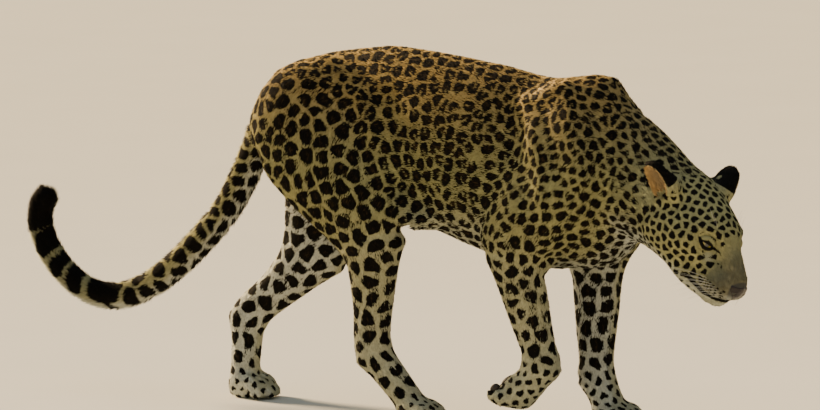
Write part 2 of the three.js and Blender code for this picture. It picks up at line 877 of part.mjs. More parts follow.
function foreNodes(leg, region, pawAt, suffix) {
  const { shoulder, elbow, wrist, foot } = leg;
  const toes = pawAt.toWorld(TOES);
  const elbowPlane = jointPlane(shoulder, elbow, wrist);
  const wristPlane = jointPlane(elbow, wrist, foot);
  const upper = trimTo(torso, [...region, elbowPlane]);
  addNode("shoulder_" + suffix, upper, coatTawny);
  const armRegion = [...region, flip(elbowPlane), wristPlane];
  const armAxis = straight(mix(elbow, wrist, 0.03), mix(elbow, wrist, 0.97), 8);
  const forearm = ringSkin(armAxis, 16, 1, armRegion);
  addNode("forearm_" + suffix, trimTo(forearm, armRegion), coatPale);
  const lower = netAround([wrist, foot, toes], 58, 14);
  const paw = trimTo(lower, [flip(wristPlane), floor]);
  addNode("fore_paw_" + suffix, paw, coatPale);
}
foreNodes(foreLeft, foreLeftRegion, pawFrames.foreLeft, "left");
foreNodes(foreRight, foreRightRegion, pawFrames.foreRight, "right");

// Tail, in five lengths
const TAIL_CUTS = [0.09, 0.3, 0.49, 0.66, 0.82, 0.985];
const tailPlanes = TAIL_CUTS.map((t) => {
  const q = tail.at(t);
  return plane(q.c, q.along);
});
TAIL_CUTS.slice(1).forEach((to, i) => {
  const from = TAIL_CUTS[i];
  const last = i === TAIL_CUTS.length - 2;
  const start = i === 0 ? tailRegion : [flip(tailPlanes[i])];
  const region = [...start, ...(last ? [] : [tailPlanes[i + 1]])];
  const axis = Array.from({ length: 8 }, (_, k) =>
    tail.at(from + 0.005 + ((to - from - 0.01) * k) / 7),
  );
  const piece = ringSkin(axis, 12, last ? 3 : 0, region);
  addNode("tail_" + (i + 1), trimTo(piece, region), coatTawny);
});

// Head: the skull and upper jaw, with the sockets, lid openings, mouth and nose cut out of them
const headBox = [-120, 100].flatMap((x) =>
  [-88, 88].flatMap((y) => [-100, 66].map((z) => HEAD.toWorld([x, y, z]))),
);
const headMesh = netAround(headBox, 8, 12.5);
let headSolid = trimTo(headMesh, [headPlane]);

// A flat outline carried along a direction of the head: the outline's own x and y lie along two others
function prism(points, origin, x, y, from, to) {
  const outline = new THREE.Shape(points.map((p) => new THREE.Vector2(...p)));
  const geometry = new THREE.ExtrudeGeometry(outline, {
    depth: to - from,
    bevelEnabled: false,
  });
  geometry.translate(0, 0, from);
  const basis = [x, y, cross(x, y)].map((axis) => new THREE.Vector3(...axis));
  geometry.applyMatrix4(new THREE.Matrix4().makeBasis(...basis));
  geometry.translate(...origin);
  return solidOf(geometry);
}
function sphereAt(centre, radius, detail) {
  const geometry = new THREE.IcosahedronGeometry(radius, detail);
  geometry.translate(...centre);
  return solidOf(geometry);
}

// Ears: the block that holds each is cut from the head and the neck, and the cup is hollowed last
function ellipsoidIn(at, { centre, radii }, detail) {
  const geometry = new THREE.IcosahedronGeometry(1, detail);
  geometry.scale(...radii);
  geometry.translate(...centre);
  const basis = [at.x, at.y, at.z].map((axis) => new THREE.Vector3(...axis));
  geometry.applyMatrix4(new THREE.Matrix4().makeBasis(...basis));
  geometry.translate(...at.origin);
  return solidOf(geometry);
}
for (const { side, at } of ears) {
  const corners = [-36, 36].flatMap((y) =>
    [-34, 24].flatMap((z) => [0, EAR_LENGTH].map((x) => at.toWorld([x, y, z]))),
  );
  const region = [
    plane(at.origin, scale(at.x, -1)),
    plane(at.toWorld([0, 44, 0]), at.y),
    plane(at.toWorld([0, -44, 0]), scale(at.y, -1)),
    plane(at.toWorld([0, 0, 30]), at.z),
    plane(at.toWorld([0, 0, -34]), scale(at.z, -1)),
  ];
  const hollow = ellipsoidIn(at, EAR_HOLLOW, 2);
  const ear = trimTo(netAround(corners, 12, 12.2), region).subtract(hollow);
  addNode("ear_" + (side === LEFT ? "left" : "right"), ear, coatPale);
  headSolid = headSolid.subtract(block(region)).subtract(hollow);
  neckSolid = neckSolid.subtract(block(region)).subtract(hollow);
}
addNode("neck", neckSolid, coatTawny);

// Eyes, and an almond opening between the lids for each
const EYE_TURN = 46; // degrees that the eye faces out from straight ahead
const EYE_SLANT = 22; // degrees that its outer corner is raised
const LID_OPENING = [
  [-15, -4],
  [-9, 1.5],
  [-1, 4.2],
  [7, 4],
  [14.5, 1],
  [8, -4.4],
  [-1, -6.6],
  [-9, -6],
];
for (const [side, suffix] of [
  [LEFT, "left"],
  [RIGHT, "right"],
]) {
  const turn = radians(EYE_TURN);
  const slant = radians(EYE_SLANT);
  const look = [Math.cos(turn), side * Math.sin(turn), 0];
  const out = [-Math.sin(turn), side * Math.cos(turn), 0];
  const long = [out[0] * Math.cos(slant), out[1] * Math.cos(slant), Math.sin(slant)];
  const x = HEAD.turn(scale(long, side));
  const y = cross(HEAD.turn(look), x);
  const centre = HEAD.toWorld([EYE.x, side * EYE.y, EYE.z]);
  const almond = LID_OPENING.map(([u, v]) => [side * u, v]);
  const opening = prism(almond, centre, x, y, EYE_RADIUS * 0.4, EYE_RADIUS * 2);
  const socket = sphereAt(centre, EYE_RADIUS + GAP, 4);
  headSolid = headSolid.subtract(opening).subtract(socket);
  addNode("eye_" + suffix, sphereAt(centre, EYE_RADIUS, 2), eyeball);
}

// The mouth: a groove between the lips, from under the nose to its corners below the eyes
function lipPoint(degrees, side) {
  const a = radians(degrees);
  const way = [Math.cos(a), side * Math.sin(a), 0];
  let z = MOUTH_PROFILE[1][1];
  let hit = [0, 0, 0];
  for (let i = 0; i < 4; i++) {
    hit = cast([30, 0, z], way, headLocal.distance);
    z = mouthHeight(hit[0]);
  }
  return HEAD.toWorld(hit);
}
function mouthHeight(x) {
  const last = MOUTH_PROFILE.length - 1;
  const i = MOUTH_PROFILE.findIndex((p) => p[0] <= x);
  if (i < 0) return MOUTH_PROFILE[last][1];
  const [x0, z0] = MOUTH_PROFILE[Math.max(i, 1) - 1];
  const [x1, z1] = MOUTH_PROFILE[Math.max(i, 1)];
  return z0 + ((z1 - z0) * (x - x0)) / (x1 - x0);
}
function tube(points, radius, steps) {
  const outline = new THREE.Shape();
  outline.absarc(0, 0, radius, 0, 2 * Math.PI);
  const line = new THREE.CatmullRomCurve3(points.map((p) => new THREE.Vector3(...p)));
  const geometry = new THREE.ExtrudeGeometry(outline, {
    steps,
    curveSegments: 2,
    extrudePath: line,
  });
  return solidOf(geometry);
}
for (const side of [LEFT, RIGHT]) {
  const line = [0, 14, 28, 44, 62, 80, 98, 112].map((a) => lipPoint(a, side));
  headSolid = headSolid.subtract(tube(line, 2.4, 14));
}

// The lower jaw, parted from the head along the mouth and behind its corners
const jawPrism = (grow) =>
  prism(
    [...MOUTH_PROFILE, [-6, -130], [130, -130], [130, -64]].map(([x, z]) => [
      x - grow,
      z + grow,
    ]),
    HEAD.origin,
    HEAD.x,
    HEAD.z,
    -90,
    90,
  );
addNode("lower_jaw", headSolid.intersect(jawPrism(-GAP / 2)), coatPale);
headSolid = headSolid.subtract(jawPrism(GAP / 2));

// The nose: a bare pad with two nostrils that open forward and to its sides
const nosePrism = (grow) =>
  prism(
    [
      [0, -61 - grow],
      [5 + grow, -54],
      [13 + grow, -50],
      [22 + grow, -40],
      [21 + grow, -31 + grow],
      [0, -27 + grow],
      [-21 - grow, -31 + grow],
      [-22 - grow, -40],
      [-13 - grow, -50],
      [-5 - grow, -54],
    ],
    HEAD.origin,
    HEAD.y,
    HEAD.z,
    84 - grow,
    130,
  );
let nose = headSolid.intersect(nosePrism(-GAP / 2));
headSolid = headSolid.subtract(nosePrism(GAP / 2));
for (const side of [LEFT, RIGHT]) {
  const line = [
    [106, 8, -42],
    [98, 12.5, -43],
    [90, 19, -41],
    [86, 25, -39],
  ].map(([x, y, z]) => HEAD.toWorld([x, side * y, z]));
  nose = nose.subtract(tube(line, 3.4, 6));
}
addNode("nose", nose, noseLeather);
addNode("head", headSolid, coatTawny);

// The origin is on the floor, below the middle of the whole animal's box
const box = new THREE.Box3().setFromObject(animal);
const middle = box.getCenter(new THREE.Vector3());
animal.position.set(-middle.x, -middle.y, -box.min.z);
const leopard = new THREE.Group();
leopard.add(animal);

export default leopard;
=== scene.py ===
"""A walking leopard, life size and still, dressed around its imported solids.

One skin covers the flesh. Short fur lies over it as joined tufts. Skin and tufts carry the same
rosettes, spots and pale parts, which are worked out from the surface itself.
Metres, +X towards the head, +Y to the animal's left, +Z up."""

import math

import bpy
import numpy as np
from mathutils import Matrix, Vector, bvhtree, kdtree


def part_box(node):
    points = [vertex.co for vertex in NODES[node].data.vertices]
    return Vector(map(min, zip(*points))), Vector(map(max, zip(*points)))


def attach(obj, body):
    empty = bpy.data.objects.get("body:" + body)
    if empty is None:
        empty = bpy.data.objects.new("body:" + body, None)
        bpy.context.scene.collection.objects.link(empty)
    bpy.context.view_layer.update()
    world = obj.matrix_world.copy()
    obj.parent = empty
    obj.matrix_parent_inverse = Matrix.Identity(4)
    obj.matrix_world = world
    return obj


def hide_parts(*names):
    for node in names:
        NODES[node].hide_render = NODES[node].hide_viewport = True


MM = 0.001
IMAGE_WIDTH = 820
IMAGE_HEIGHT = 410

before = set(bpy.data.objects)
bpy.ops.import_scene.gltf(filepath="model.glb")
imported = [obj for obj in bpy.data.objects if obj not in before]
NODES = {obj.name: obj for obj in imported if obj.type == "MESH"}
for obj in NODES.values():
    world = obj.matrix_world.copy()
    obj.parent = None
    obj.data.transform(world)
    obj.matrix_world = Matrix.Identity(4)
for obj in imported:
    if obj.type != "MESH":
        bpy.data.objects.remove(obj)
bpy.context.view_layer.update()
random = np.random.default_rng(11)


# Small helpers on arrays of points


def unit(v):
    """Rows of v at length one."""
    v = np.asarray(v, float)
    return v / np.maximum(np.linalg.norm(v, axis=-1, keepdims=True), 1e-9)


def ramp(value, low, high):
    """0 below low, 1 above high and smooth between them; high may be the lower one."""
    t = np.clip((value - low) / (high - low), 0, 1)
    return t * t * (3 - 2 * t)


def mixed(a, b, share):
    """a where share is 0, b where it is 1."""
    share = np.asarray(share)[..., None] if np.ndim(a) > np.ndim(share) else share
    return a + (b - a) * share


def linear(hex_colour):
    """An sRGB hex colour as linear red, green and blue."""
    parts = [int(hex_colour[i : i + 2], 16) / 255 for i in (1, 3, 5)]
    return np.array([c / 12.92 if c <= 0.04045 else ((c + 0.055) / 1.055) ** 2.4 for c in parts])


def rows(items, key, width, kind=np.float32):
    """What each vertex, edge or triangle of a mesh holds, one row for each."""
    values = np.empty(len(items) * width, kind)
    items.foreach_get(key, values)
    return values.reshape(-1, width)


def points_of(mesh):
    return rows(mesh.vertices, "co", 3).astype(float)


def normals_of(mesh):
    return rows(mesh.vertex_normals, "vector", 3).astype(float)


def edges_of(mesh):
    return rows(mesh.edges, "vertices", 2, np.int32)


def middle(node):
    """The middle of a node's vertices, which stands for the middle of its solid."""
    return rows(NODES[node].data.vertices, "co", 3).mean(0).astype(float)


def tree_of(points):
    """A search tree over points."""
    tree = kdtree.KDTree(len(points))
    for i, p in enumerate(points):
        tree.insert(p, i)
    tree.balance()
    return tree


def all_left(points):
    """Points with the right side folded over onto the left one."""
    return np.abs(points) * [0, 1, 0] + points * [1, 0, 1]


def everywhere(colour, points):
    """One colour for each point."""
    return np.tile(colour, (len(points), 1))


def linked(name, data):
    """A new object in the scene, for a mesh, a lamp or a camera."""
    thing = bpy.data.objects.new(name, data)
    bpy.context.scene.collection.objects.link(thing)
    return thing


# Camera: on the animal's right, ahead of its middle, looking a little down

AZIMUTH = math.radians(30)
ELEVATION = math.radians(7)
DISTANCE = 12.0
METRES_PER_PIXEL = 0.00186
STANCE_PIXEL = (430, 419)  # where the stance point shows
STANCE_POINT = Vector((0.0867, -0.0002, 0))
SENSOR_MM = 36


def add_camera():
    right = Vector((math.cos(AZIMUTH), math.sin(AZIMUTH), 0))
    level = Vector((-math.sin(AZIMUTH), math.cos(AZIMUTH), 0))
    forward = level * math.cos(ELEVATION) - Vector((0, 0, math.sin(ELEVATION)))
    up = right.cross(forward)
    across = (IMAGE_WIDTH / 2 - STANCE_PIXEL[0]) * METRES_PER_PIXEL
    rise = (STANCE_PIXEL[1] - IMAGE_HEIGHT / 2) * METRES_PER_PIXEL
    target = STANCE_POINT + right * across + up * rise
    data = bpy.data.cameras.new("camera")
    data.sensor_width = SENSOR_MM
    data.lens = SENSOR_MM * DISTANCE / (IMAGE_WIDTH * METRES_PER_PIXEL)
    camera = linked("camera", data)
    turn = Matrix((right, up, -forward)).transposed().to_4x4()
    camera.matrix_world = Matrix.Translation(target - forward * DISTANCE) @ turn
    bpy.context.scene.camera = camera


add_camera()


# Materials


def add(tree, kind, inputs=None, **settings):
    """A node with its settings, and with each named input set or linked."""
    made = tree.nodes.new(kind)
    for key, value in settings.items():
        setattr(made, key, value)
    for key, value in (inputs or {}).items():
        if isinstance(value, bpy.types.NodeSocket):
            tree.links.new(value, made.inputs[key])
        else:
            made.inputs[key].default_value = value
    return made


def new_material(name):
    """An empty material, its node tree and the function that ends it in one shader."""
    material = bpy.data.materials.new(name)
    material.use_nodes = True
    tree = material.node_tree
    tree.nodes.clear()

    def surface(**sockets):
        inputs = {k.replace("_", " ").title().replace("Ior", "IOR"): v for k, v in sockets.items()}
        shader = add(tree, "ShaderNodeBsdfPrincipled", inputs)
        add(tree, "ShaderNodeOutputMaterial", {"Surface": shader.outputs[0]})

    return material, tree, surface


def attribute(tree, name, output):
    return add(tree, "ShaderNodeAttribute", attribute_name=name).outputs[output]


def toned(tree, colour, pattern, low, high, top=1.0):
    """A colour scaled by a pattern: by low where it is 0, and by high where it is at its top."""
    colour = colour if isinstance(colour, bpy.types.NodeSocket) else tuple(linear(colour))
    tones = {"Value": pattern, "From Max": top, "To Min": low, "To Max": high}
    sockets = {0: colour, 3: add(tree, "ShaderNodeMapRange", tones).outputs[0]}
    return add(tree, "ShaderNodeVectorMath", sockets, operation="SCALE").outputs[0]


DARK_HAIR = linear("#0f0d09")
CORE_HAIR = linear("#3e2f18")
MARK_BLUR_MM = 0.8  # how far the edge of a mark fades, to each side of it
FACET_SHARE = 0.15  # how much a tuft's own facets show in its shading


def coat_colour(tree, depth):
    """The ground's colour, and the dark one where the depth inside a mark is above nothing."""
    span = {"Value": depth, "From Min": -MARK_BLUR_MM, "From Max": MARK_BLUR_MM}
    dark = add(tree, "ShaderNodeMapRange", span, interpolation_type="SMOOTHSTEP")
    ground = attribute(tree, "ground", "Color")
    sockets = {0: dark.outputs[0], 6: ground, 7: attribute(tree, "dark", "Color")}
    return add(tree, "ShaderNodeMix", sockets, data_type="RGBA").outputs[2]


def skin_material():
    """Short fur that lies flat: the marks with ragged edges, and fine strands as bump."""
    material, tree, surface = new_material("short fur over skin")
    place = add(tree, "ShaderNodeTexCoord").outputs["Object"]
    ragged = add(tree, "ShaderNodeTexNoise", {"Vector": place, "Scale": 260, "Detail": 2})
    ragged_mm = {0: ragged.outputs["Fac"], 1: 3.2, 2: -1.6}
    drift = add(tree, "ShaderNodeMath", ragged_mm, operation="MULTIPLY_ADD")
    mark = attribute(tree, "mark", "Fac")
    shifted = add(tree, "ShaderNodeMath", {0: mark, 1: drift.outputs[0]})
    strands = add(tree, "ShaderNodeTexNoise", {"Vector": place, "Scale": 900, "Detail": 3})
    height = {"Height": strands.outputs["Fac"], "Strength": 0.5, "Distance": 0.0012}
    relief = add(tree, "ShaderNodeBump", height)
    surface(
        base_color=coat_colour(tree, shifted.outputs[0]),
        roughness=0.82,
        specular_ior_level=0.15,
        normal=relief.outputs[0],
    )
    return material


def tuft_material():
    """Hair in soft light: painted shade darkens it towards its root, and it is shaded mostly as the
    body under it.
    """
    material, tree, surface = new_material("hair tufts")
    colour = coat_colour(tree, attribute(tree, "mark", "Fac"))
    facet = add(tree, "ShaderNodeNewGeometry").outputs["Normal"]
    under = attribute(tree, "under", "Vector")
    soft = add(tree, "ShaderNodeMix", {0: FACET_SHARE, 4: under, 5: facet}, data_type="VECTOR")
    normal = add(tree, "ShaderNodeVectorMath", {0: soft.outputs[1]}, operation="NORMALIZE")
    surface(
        # painted shade: each tuft is darker at its root, where the coat shades it, and lighter at its
        # tip
        base_color=toned(tree, colour, attribute(tree, "along", "Fac"), 0.7, 1.15),
        roughness=0.8,
        specular_ior_level=0.1,
        normal=normal.outputs[0],
    )
    return material


def leather_material(name, colour, grain_mm, roughness):
    """Bare damp skin with small round grains, with painted shade in the furrows between them."""
    material, tree, surface = new_material(name)
    place = add(tree, "ShaderNodeTexCoord").outputs["Object"]
    scale = 1 / (grain_mm * MM)
    grain = add(tree, "ShaderNodeTexVoronoi", {"Vector": place, "Scale": scale})
    distance = grain.outputs["Distance"]
    height = {"Height": distance, "Strength": 0.5, "Distance": 0.0005}
    relief = add(tree, "ShaderNodeBump", height, invert=True)
    surface(
        # painted shade: lighter at each grain's middle, darker in the furrows
        base_color=toned(tree, colour, distance, 1.2, 0.6, top=0.8),
        roughness=roughness,
        normal=relief.outputs[0],
    )
    return material


# The eye's colours outwards from the pupil's middle, each with its share of a quarter turn
IRIS = [
    (0.0, "#050403"),
    (0.13, "#060504"),
    (0.17, "#6e6a30"),
    (0.34, "#a08c3c"),
    (0.42, "#3a2c12"),
    (0.5, "#241810"),
]


def eye_material():
    """A wet eyeball: round pupil, olive gold iris with a dark rim, brown white beyond it."""
    material, tree, surface = new_material("wet eye")
    colours = add(tree, "ShaderNodeValToRGB", {"Fac": attribute(tree, "gaze", "Fac")})
    stops = colours.color_ramp.elements
    stops.remove(stops[1])
    for at, colour in IRIS:
        stop = stops.new(at) if at else stops[0]
        stop.color = (*linear(colour), 1)
    surface(base_color=colours.outputs["Color"], roughness=0.06, coat_weight=1.0)
    return material


def plain_hair_material(name, colour, roughness):
    """Stiff single hairs, such as whiskers: pale horn with faint drifts of tone."""
    material, tree, surface = new_material(name)
    place = add(tree, "ShaderNodeTexCoord").outputs["Object"]
    noise = add(tree, "ShaderNodeTexNoise", {"Vector": place, "Scale": 400})
    surface(base_color=toned(tree, colour, noise.outputs["Fac"], 0.8, 1.2), roughness=roughness)
    return material


# Floor and light: a pale studio floor, a soft sky and a warm low light from behind the tail


def add_floor():
    bpy.ops.mesh.primitive_plane_add(size=40, location=(0, 6, 0))
    floor = bpy.context.object
    floor.name = "floor"
    floor.data.transform(floor.matrix_world)
    floor.matrix_world = Matrix.Identity(4)
    material, tree, surface = new_material("pale studio floor")
    place = add(tree, "ShaderNodeTexCoord").outputs["Object"]
    cloud = add(tree, "ShaderNodeTexNoise", {"Vector": place, "Scale": 3, "Detail": 4})
    tint = toned(tree, "#d6d7d0", cloud.outputs["Fac"], 0.97, 1.03)
    surface(base_color=tint, roughness=0.9, specular_ior_level=0.1)
    floor.data.materials.append(material)


SUN_WAY = (0.92, -0.12, -0.36)  # it shines forward along the back, and a little to the right


def add_light(name, kind, power, colour, aim, position=(0, 0, 3), **settings):
    data = bpy.data.lights.new(name, kind)
    data.energy = power
    data.color = linear(colour)
    for key, value in settings.items():
        setattr(data, key, value)
    lamp = linked(name, data)
    lamp.location = position
    lamp.rotation_euler = Vector(aim).to_track_quat("-Z", "Y").to_euler()


def add_studio():
    add_floor()
    add_light("low_warm_light", "SUN", 15, "#ffdcaa", SUN_WAY, angle=math.radians(14))
    add_light("overhead_softbox", "AREA", 36, "#f4f6ff", (0, 0.1, -1), (0.2, -0.8, 3.6), size=4.0)
    world = bpy.data.worlds.new("studio air")
    world.use_nodes = True
    air = world.node_tree.nodes["Background"]
    air.inputs["Color"].default_value = (*linear("#e3e8e2"), 1)
    air.inputs["Strength"].default_value = 0.34
    bpy.context.scene.world = world


add_studio()


# What the coat is like on each node. Left and right nodes share a row. In mm: how deep the skin lies,
# hair length, gap between tufts, gap between marks and ground left between marks. Then how open
# the marks are in their middle, and how pale the ground is.
COAT = {
    "head": (2.0, 5, 2.0, 18, 5.4, 0.0, 0.08),
    "lower_jaw": (2.5, 6, 2.2, 15, 8.0, 0.0, 0.4),
    "nose": (0.6, 3, 2.2, 16, 8.0, 0.0, 0.1),
    "ear": (1.0, 6, 1.9, 17, 6.0, 0.0, 0.12),
    "neck": (3.5, 8, 2.6, 19, 5.4, 0.05, 0.06),
    "chest": (3.5, 8, 2.7, 24, 5.0, 0.22, 0.02),
    "loin": (3.5, 8, 2.7, 25, 5.0, 0.25, 0.0),
    "pelvis": (3.5, 8, 2.7, 27, 5.4, 0.22, 0.0),
    "shoulder": (3, 8, 2.6, 22, 5.6, 0.1, 0.05),
    "forearm": (2.5, 7, 2.5, 32, 8.4, 0.0, 0.3),
    "fore_paw": (2, 5, 2.3, 22, 8.5, 0.0, 0.4),
    "thigh": (3, 8, 2.7, 32, 6.2, 0.1, 0.05),
    "shank": (2.5, 7, 2.5, 37, 9.2, 0.0, 0.3),
    "metatarsus": (2, 6, 2.4, 31, 11.0, 0.0, 0.4),
    "hind_paw": (2, 5, 2.3, 22, 9.5, 0.0, 0.45),
    "tail_1": (0.8, 12, 2.6, 32, 5.4, 0.0, 0.05),
    "tail_2": (0.8, 12, 2.6, 37, 6.0, 0.0, 0.08),
    "tail_3": (0.8, 12, 2.6, 41, 7.0, 0.0, 0.12),
    "tail_4": (0.8, 12, 2.6, 44, 8.0, 0.0, 0.12),
    "tail_5": (0.8, 13, 2.6, 48, 8.0, 0.0, 0.15),
}
# Hair on each part lies from the one before it towards the one after it
CHAINS = [
    "head neck chest loin pelvis tail_1 tail_2 tail_3 tail_4 tail_5",
    "neck shoulder forearm fore_paw",
    "loin thigh shank metatarsus hind_paw",
    "head ear",
]
LIE = {kind: ("nose", "neck") for kind in ("head", "lower_jaw", "nose")}
for chain in map(str.split, CHAINS):
    for before, kind, after in zip(chain, chain[1:], chain[2:] + chain[-1:]):
        LIE[kind] = (before, after)
SIDES = {"_left": 1, "_right": -1}
FLESH = sorted(n for n in NODES if not n.startswith("eye"))


def suffix_of(node):
    return next((s for s in SIDES if node.endswith(s)), "")


def kind_of(node):
    return node.removesuffix(suffix_of(node))


KINDS = [kind_of(n) for n in FLESH]


def lie_of(node):
    """The direction that the hair of a node points in."""
    names = [n if n in NODES else n + suffix_of(node) for n in LIE[kind_of(node)]]
    return unit(middle(names[1]) - middle(names[0]))


# The head's own frame: x along the muzzle, y to its left, z out of the brow
HEAD_YAW = math.radians(-18)
HEAD_PITCH = math.radians(34)
HEAD_ROLL = math.radians(-10)
HEAD_AXES = np.array(
    Matrix.Rotation(HEAD_YAW, 3, "Z")
    @ Matrix.Rotation(HEAD_PITCH, 3, "Y")
    @ Matrix.Rotation(HEAD_ROLL, 3, "X")
)
EYE_MIDDLE = {side: middle("eye" + side) for side in SIDES}
HEAD_ORIGIN = sum(EYE_MIDDLE.values()) / 2 - HEAD_AXES @ np.array([2, 0, -1]) * MM


def in_head(points):
    """Points in the head's frame, in mm."""
    return (points - HEAD_ORIGIN) @ HEAD_AXES / MM


def from_head(points):
    return HEAD_ORIGIN + np.asarray(points, float) @ HEAD_AXES.T * MM


# Skin

SKIN_VOXEL = 0.0021
SKIN_TRIANGLES = 185000
SEAM_OVERLAP = 0.0004  # closes the gaps between nodes


def only(thing):
    """Deselects everything else, and makes this object active."""
    bpy.ops.object.select_all(action="DESELECT")
    thing.select_set(True)
    bpy.context.view_layer.objects.active = thing


def joined(parts):
    """One object made of several."""
    bpy.ops.object.select_all(action="DESELECT")
    for part in parts:
        part.select_set(True)
    bpy.context.view_layer.objects.active = parts[0]
    bpy.ops.object.join()
    return parts[0]


def surfaced(piece, material):
    """Shades a piece smooth and gives it one material."""
    only(piece)
    bpy.ops.object.shade_smooth()
    piece.data.materials.clear()
    piece.data.materials.append(material)


WELD = 0.00001


def copied(node, name, swell):
    """A welded copy of a node's mesh, swollen a little."""
    piece = linked(name, NODES[node].data.copy())
    only(piece)
    bpy.ops.object.mode_set(mode="EDIT")
    bpy.ops.mesh.select_all(action="SELECT")
    bpy.ops.mesh.remove_doubles(threshold=WELD)
    bpy.ops.transform.shrink_fatten(value=swell)
    bpy.ops.object.mode_set(mode="OBJECT")
    return piece


def apply_modifier(thing, kind, **settings):
    modifier = thing.modifiers.new(kind.lower(), kind)
    for key, value in settings.items():
        setattr(modifier, key, value)
    only(thing)
    bpy.ops.object.modifier_apply(modifier=modifier.name)


def largest_part(thing):
    """Keeps only the largest connected part of a mesh."""
    only(thing)
    bpy.ops.mesh.separate(type="LOOSE")
    parts = list(bpy.context.selected_objects)
    keep = max(parts, key=lambda o: len(o.data.vertices))
    for part in parts:
        if part != keep:
            bpy.data.objects.remove(part)
    return keep


def set_points(mesh, points):
    mesh.vertices.foreach_set("co", points.astype(np.float32).ravel())
    mesh.update()


def spread(values, edges, rounds, share=0.5):
    """Evens out values over the surface, by moving each towards the mean of its neighbours."""
    count = len(values)
    flat = values.reshape(count, -1).copy()
    share = np.broadcast_to(np.asarray(share, float).reshape(-1, 1), (count, 1))
    ends = np.concatenate([edges[:, 0], edges[:, 1]])
    others = np.concatenate([edges[:, 1], edges[:, 0]])
    degree = np.maximum(np.bincount(ends, minlength=count), 1)
    for _ in range(rounds):
        for column in range(flat.shape[1]):
            sums = np.bincount(ends, weights=flat[others, column], minlength=count)
            flat[:, column] += share[:, 0] * (sums / degree - flat[:, column])
    return flat.reshape(values.shape)


def nearest_nodes(points):
    """The index in FLESH of the node that each point lies on."""
    clouds = [points_of(NODES[n].data) for n in FLESH]
    owner = np.repeat(np.arange(len(FLESH)), [len(c) for c in clouds])
    tree = tree_of(np.concatenate(clouds))
    return owner[np.array([tree.find(p)[1] for p in points])]


# How much each part's facets are smoothed away: those of the trunk and limbs are the widest
PLAIN_SMOOTHING = 0.5
SMOOTHING = {
    "head": 0.1,
    "lower_jaw": 0.08,
    "nose": 0.03,
    "ear": 0.03,
    "fore_paw": 0.12,
    "hind_paw": 0.12,
}
SMOOTHING_ROUNDS = 56
SHARE_ROUNDS = 12  # these two soften the steps between parts
DEPTH_ROUNDS = 30
SOLE_RISE = (0.003, 0.02)  # heights between which the skin of a sole goes in to its full depth
COARSE_FROM = 0.3  # skin smoothed more than this is made coarser, and the finer parts aren't

# Muscles and bones under the coat, along lines of the right side in mm, which the left side
# mirrors. Each has a width and a height; a height below nothing is a hollow.
BODY_FORMS = [
    ([(322, -56, 611), (350, -88, 566), (378, -112, 510), (400, -130, 440)], 21, 9),  # blade, rear
    ([(292, -62, 598), (318, -98, 530), (352, -122, 450)], 28, -8),  # behind the blade
    ([(322, -56, 611), (394, -61, 640), (450, -45, 640)], 17, 5),  # blade, upper edge
    ([(418, -68, 620), (448, -103, 553), (467, -118, 482)], 15, 6),  # blade, ridge
    ([(372, -80, 600), (405, -110, 540), (428, -124, 480)], 14, -4),  # between edge and ridge
    ([(500, -62, 570), (512, -92, 500), (505, -100, 430)], 16, -6),  # shoulder to neck
    ([(340, -126, 440), (300, -128, 376)], 26, 5),  # back of the upper arm
    ([(-20, -74, 610), (24, -92, 520), (78, -108, 410)], 18, 8),  # thigh, front edge
    ([(48, -80, 600), (88, -92, 500), (124, -100, 420)], 24, -7),  # flank hollow
    ([(-120, -44, 668), (-66, -62, 648)], 16, 5),  # hip bone
    ([(-112, -120, 560), (-96, -134, 450), (-56, -128, 350)], 14, -5),  # across the thigh
    ([(-215, -100, 520), (-190, -120, 430), (-120, -128, 340)], 16, 4),  # thigh, rear edge
    ([(30, -112, 300), (-10, -116, 200), (-40, -104, 140)], 9, -3),  # above the hock
    ([(345, -126, 330), (330, -104, 220)], 8, -3),  # down the forearm
]
# Forms of the face along lines in the head's frame, on both of its sides
FACE_FORMS = [
    ([(14, 18, 24), (-4, 34, 22), (-20, 46, 16)], 7, 4),  # brow
    ([(6, 50, -20), (-36, 66, -14)], 11, 4),  # cheek bone
    ([(40, 25, -14), (58, 24, -26)], 9, -3),  # beside the bridge
    ([(84, 14, -50), (62, 24, -58)], 11, 4),  # whisker pad
    ([(84, 0, -86), (70, 0, -88)], 12, 3),  # chin
    ([(96, 0, -72), (96, 0, -60)], 2.5, -2.5),  # groove of the upper lip
    ([(104, 14, -64), (92, 20, -68), (76, 26, -73), (54, 32, -75), (30, 38, -73)], 3, -2.5),  # mouth
]


def raised(forms, folded):
    """How far each point rises, in m, under forms drawn on one side.

    folded: the points in mm, all on that side."""
    total = np.zeros(len(folded))
    for path, width, height in forms:
        away = np.min([distance_to_line(folded, a, b)[0] for a, b in zip(path, path[1:])], axis=0)
        total += height * MM * np.exp(-((away / width) ** 2))
    return total


def distance_to_line(points, a, b):
    a, b = np.array(a, float), np.array(b, float)
    along = np.clip(((points - a) @ (b - a)) / ((b - a) @ (b - a)), 0, 1)
    return np.linalg.norm(points - a - along[:, None] * (b - a), axis=1), along


# Eyes look forward and out; the slit between the lids is half closed
EYE_RADIUS = 15 * MM
EYE_TURN = math.radians(42)
EYE_SLANT = math.radians(5)
CORNEA_RISE = 0.9 * MM
SOCKET_RADIUS = 13.4 * MM
SOCKET_RIM = (0.026, 0.034)  # from the eye's middle, where the drawing in ends
SOCKET_EDGE = (62, 82)  # degrees from the way it looks where the skin has risen out of the socket


def eye_axes(side):
    """Look, outer and upper directions of an eye; the outer one rises towards the ear."""
    s = SIDES[side]
    look = np.array([math.cos(EYE_TURN), s * math.sin(EYE_TURN), 0])
    outer = np.array([-math.sin(EYE_TURN), s * math.cos(EYE_TURN), 0]) * math.cos(EYE_SLANT)
    outer = outer + np.array([0, 0, math.sin(EYE_SLANT)])
    look, outer = HEAD_AXES @ look, HEAD_AXES @ outer
    upper = np.cross(look, outer) * s
    return look, outer, upper


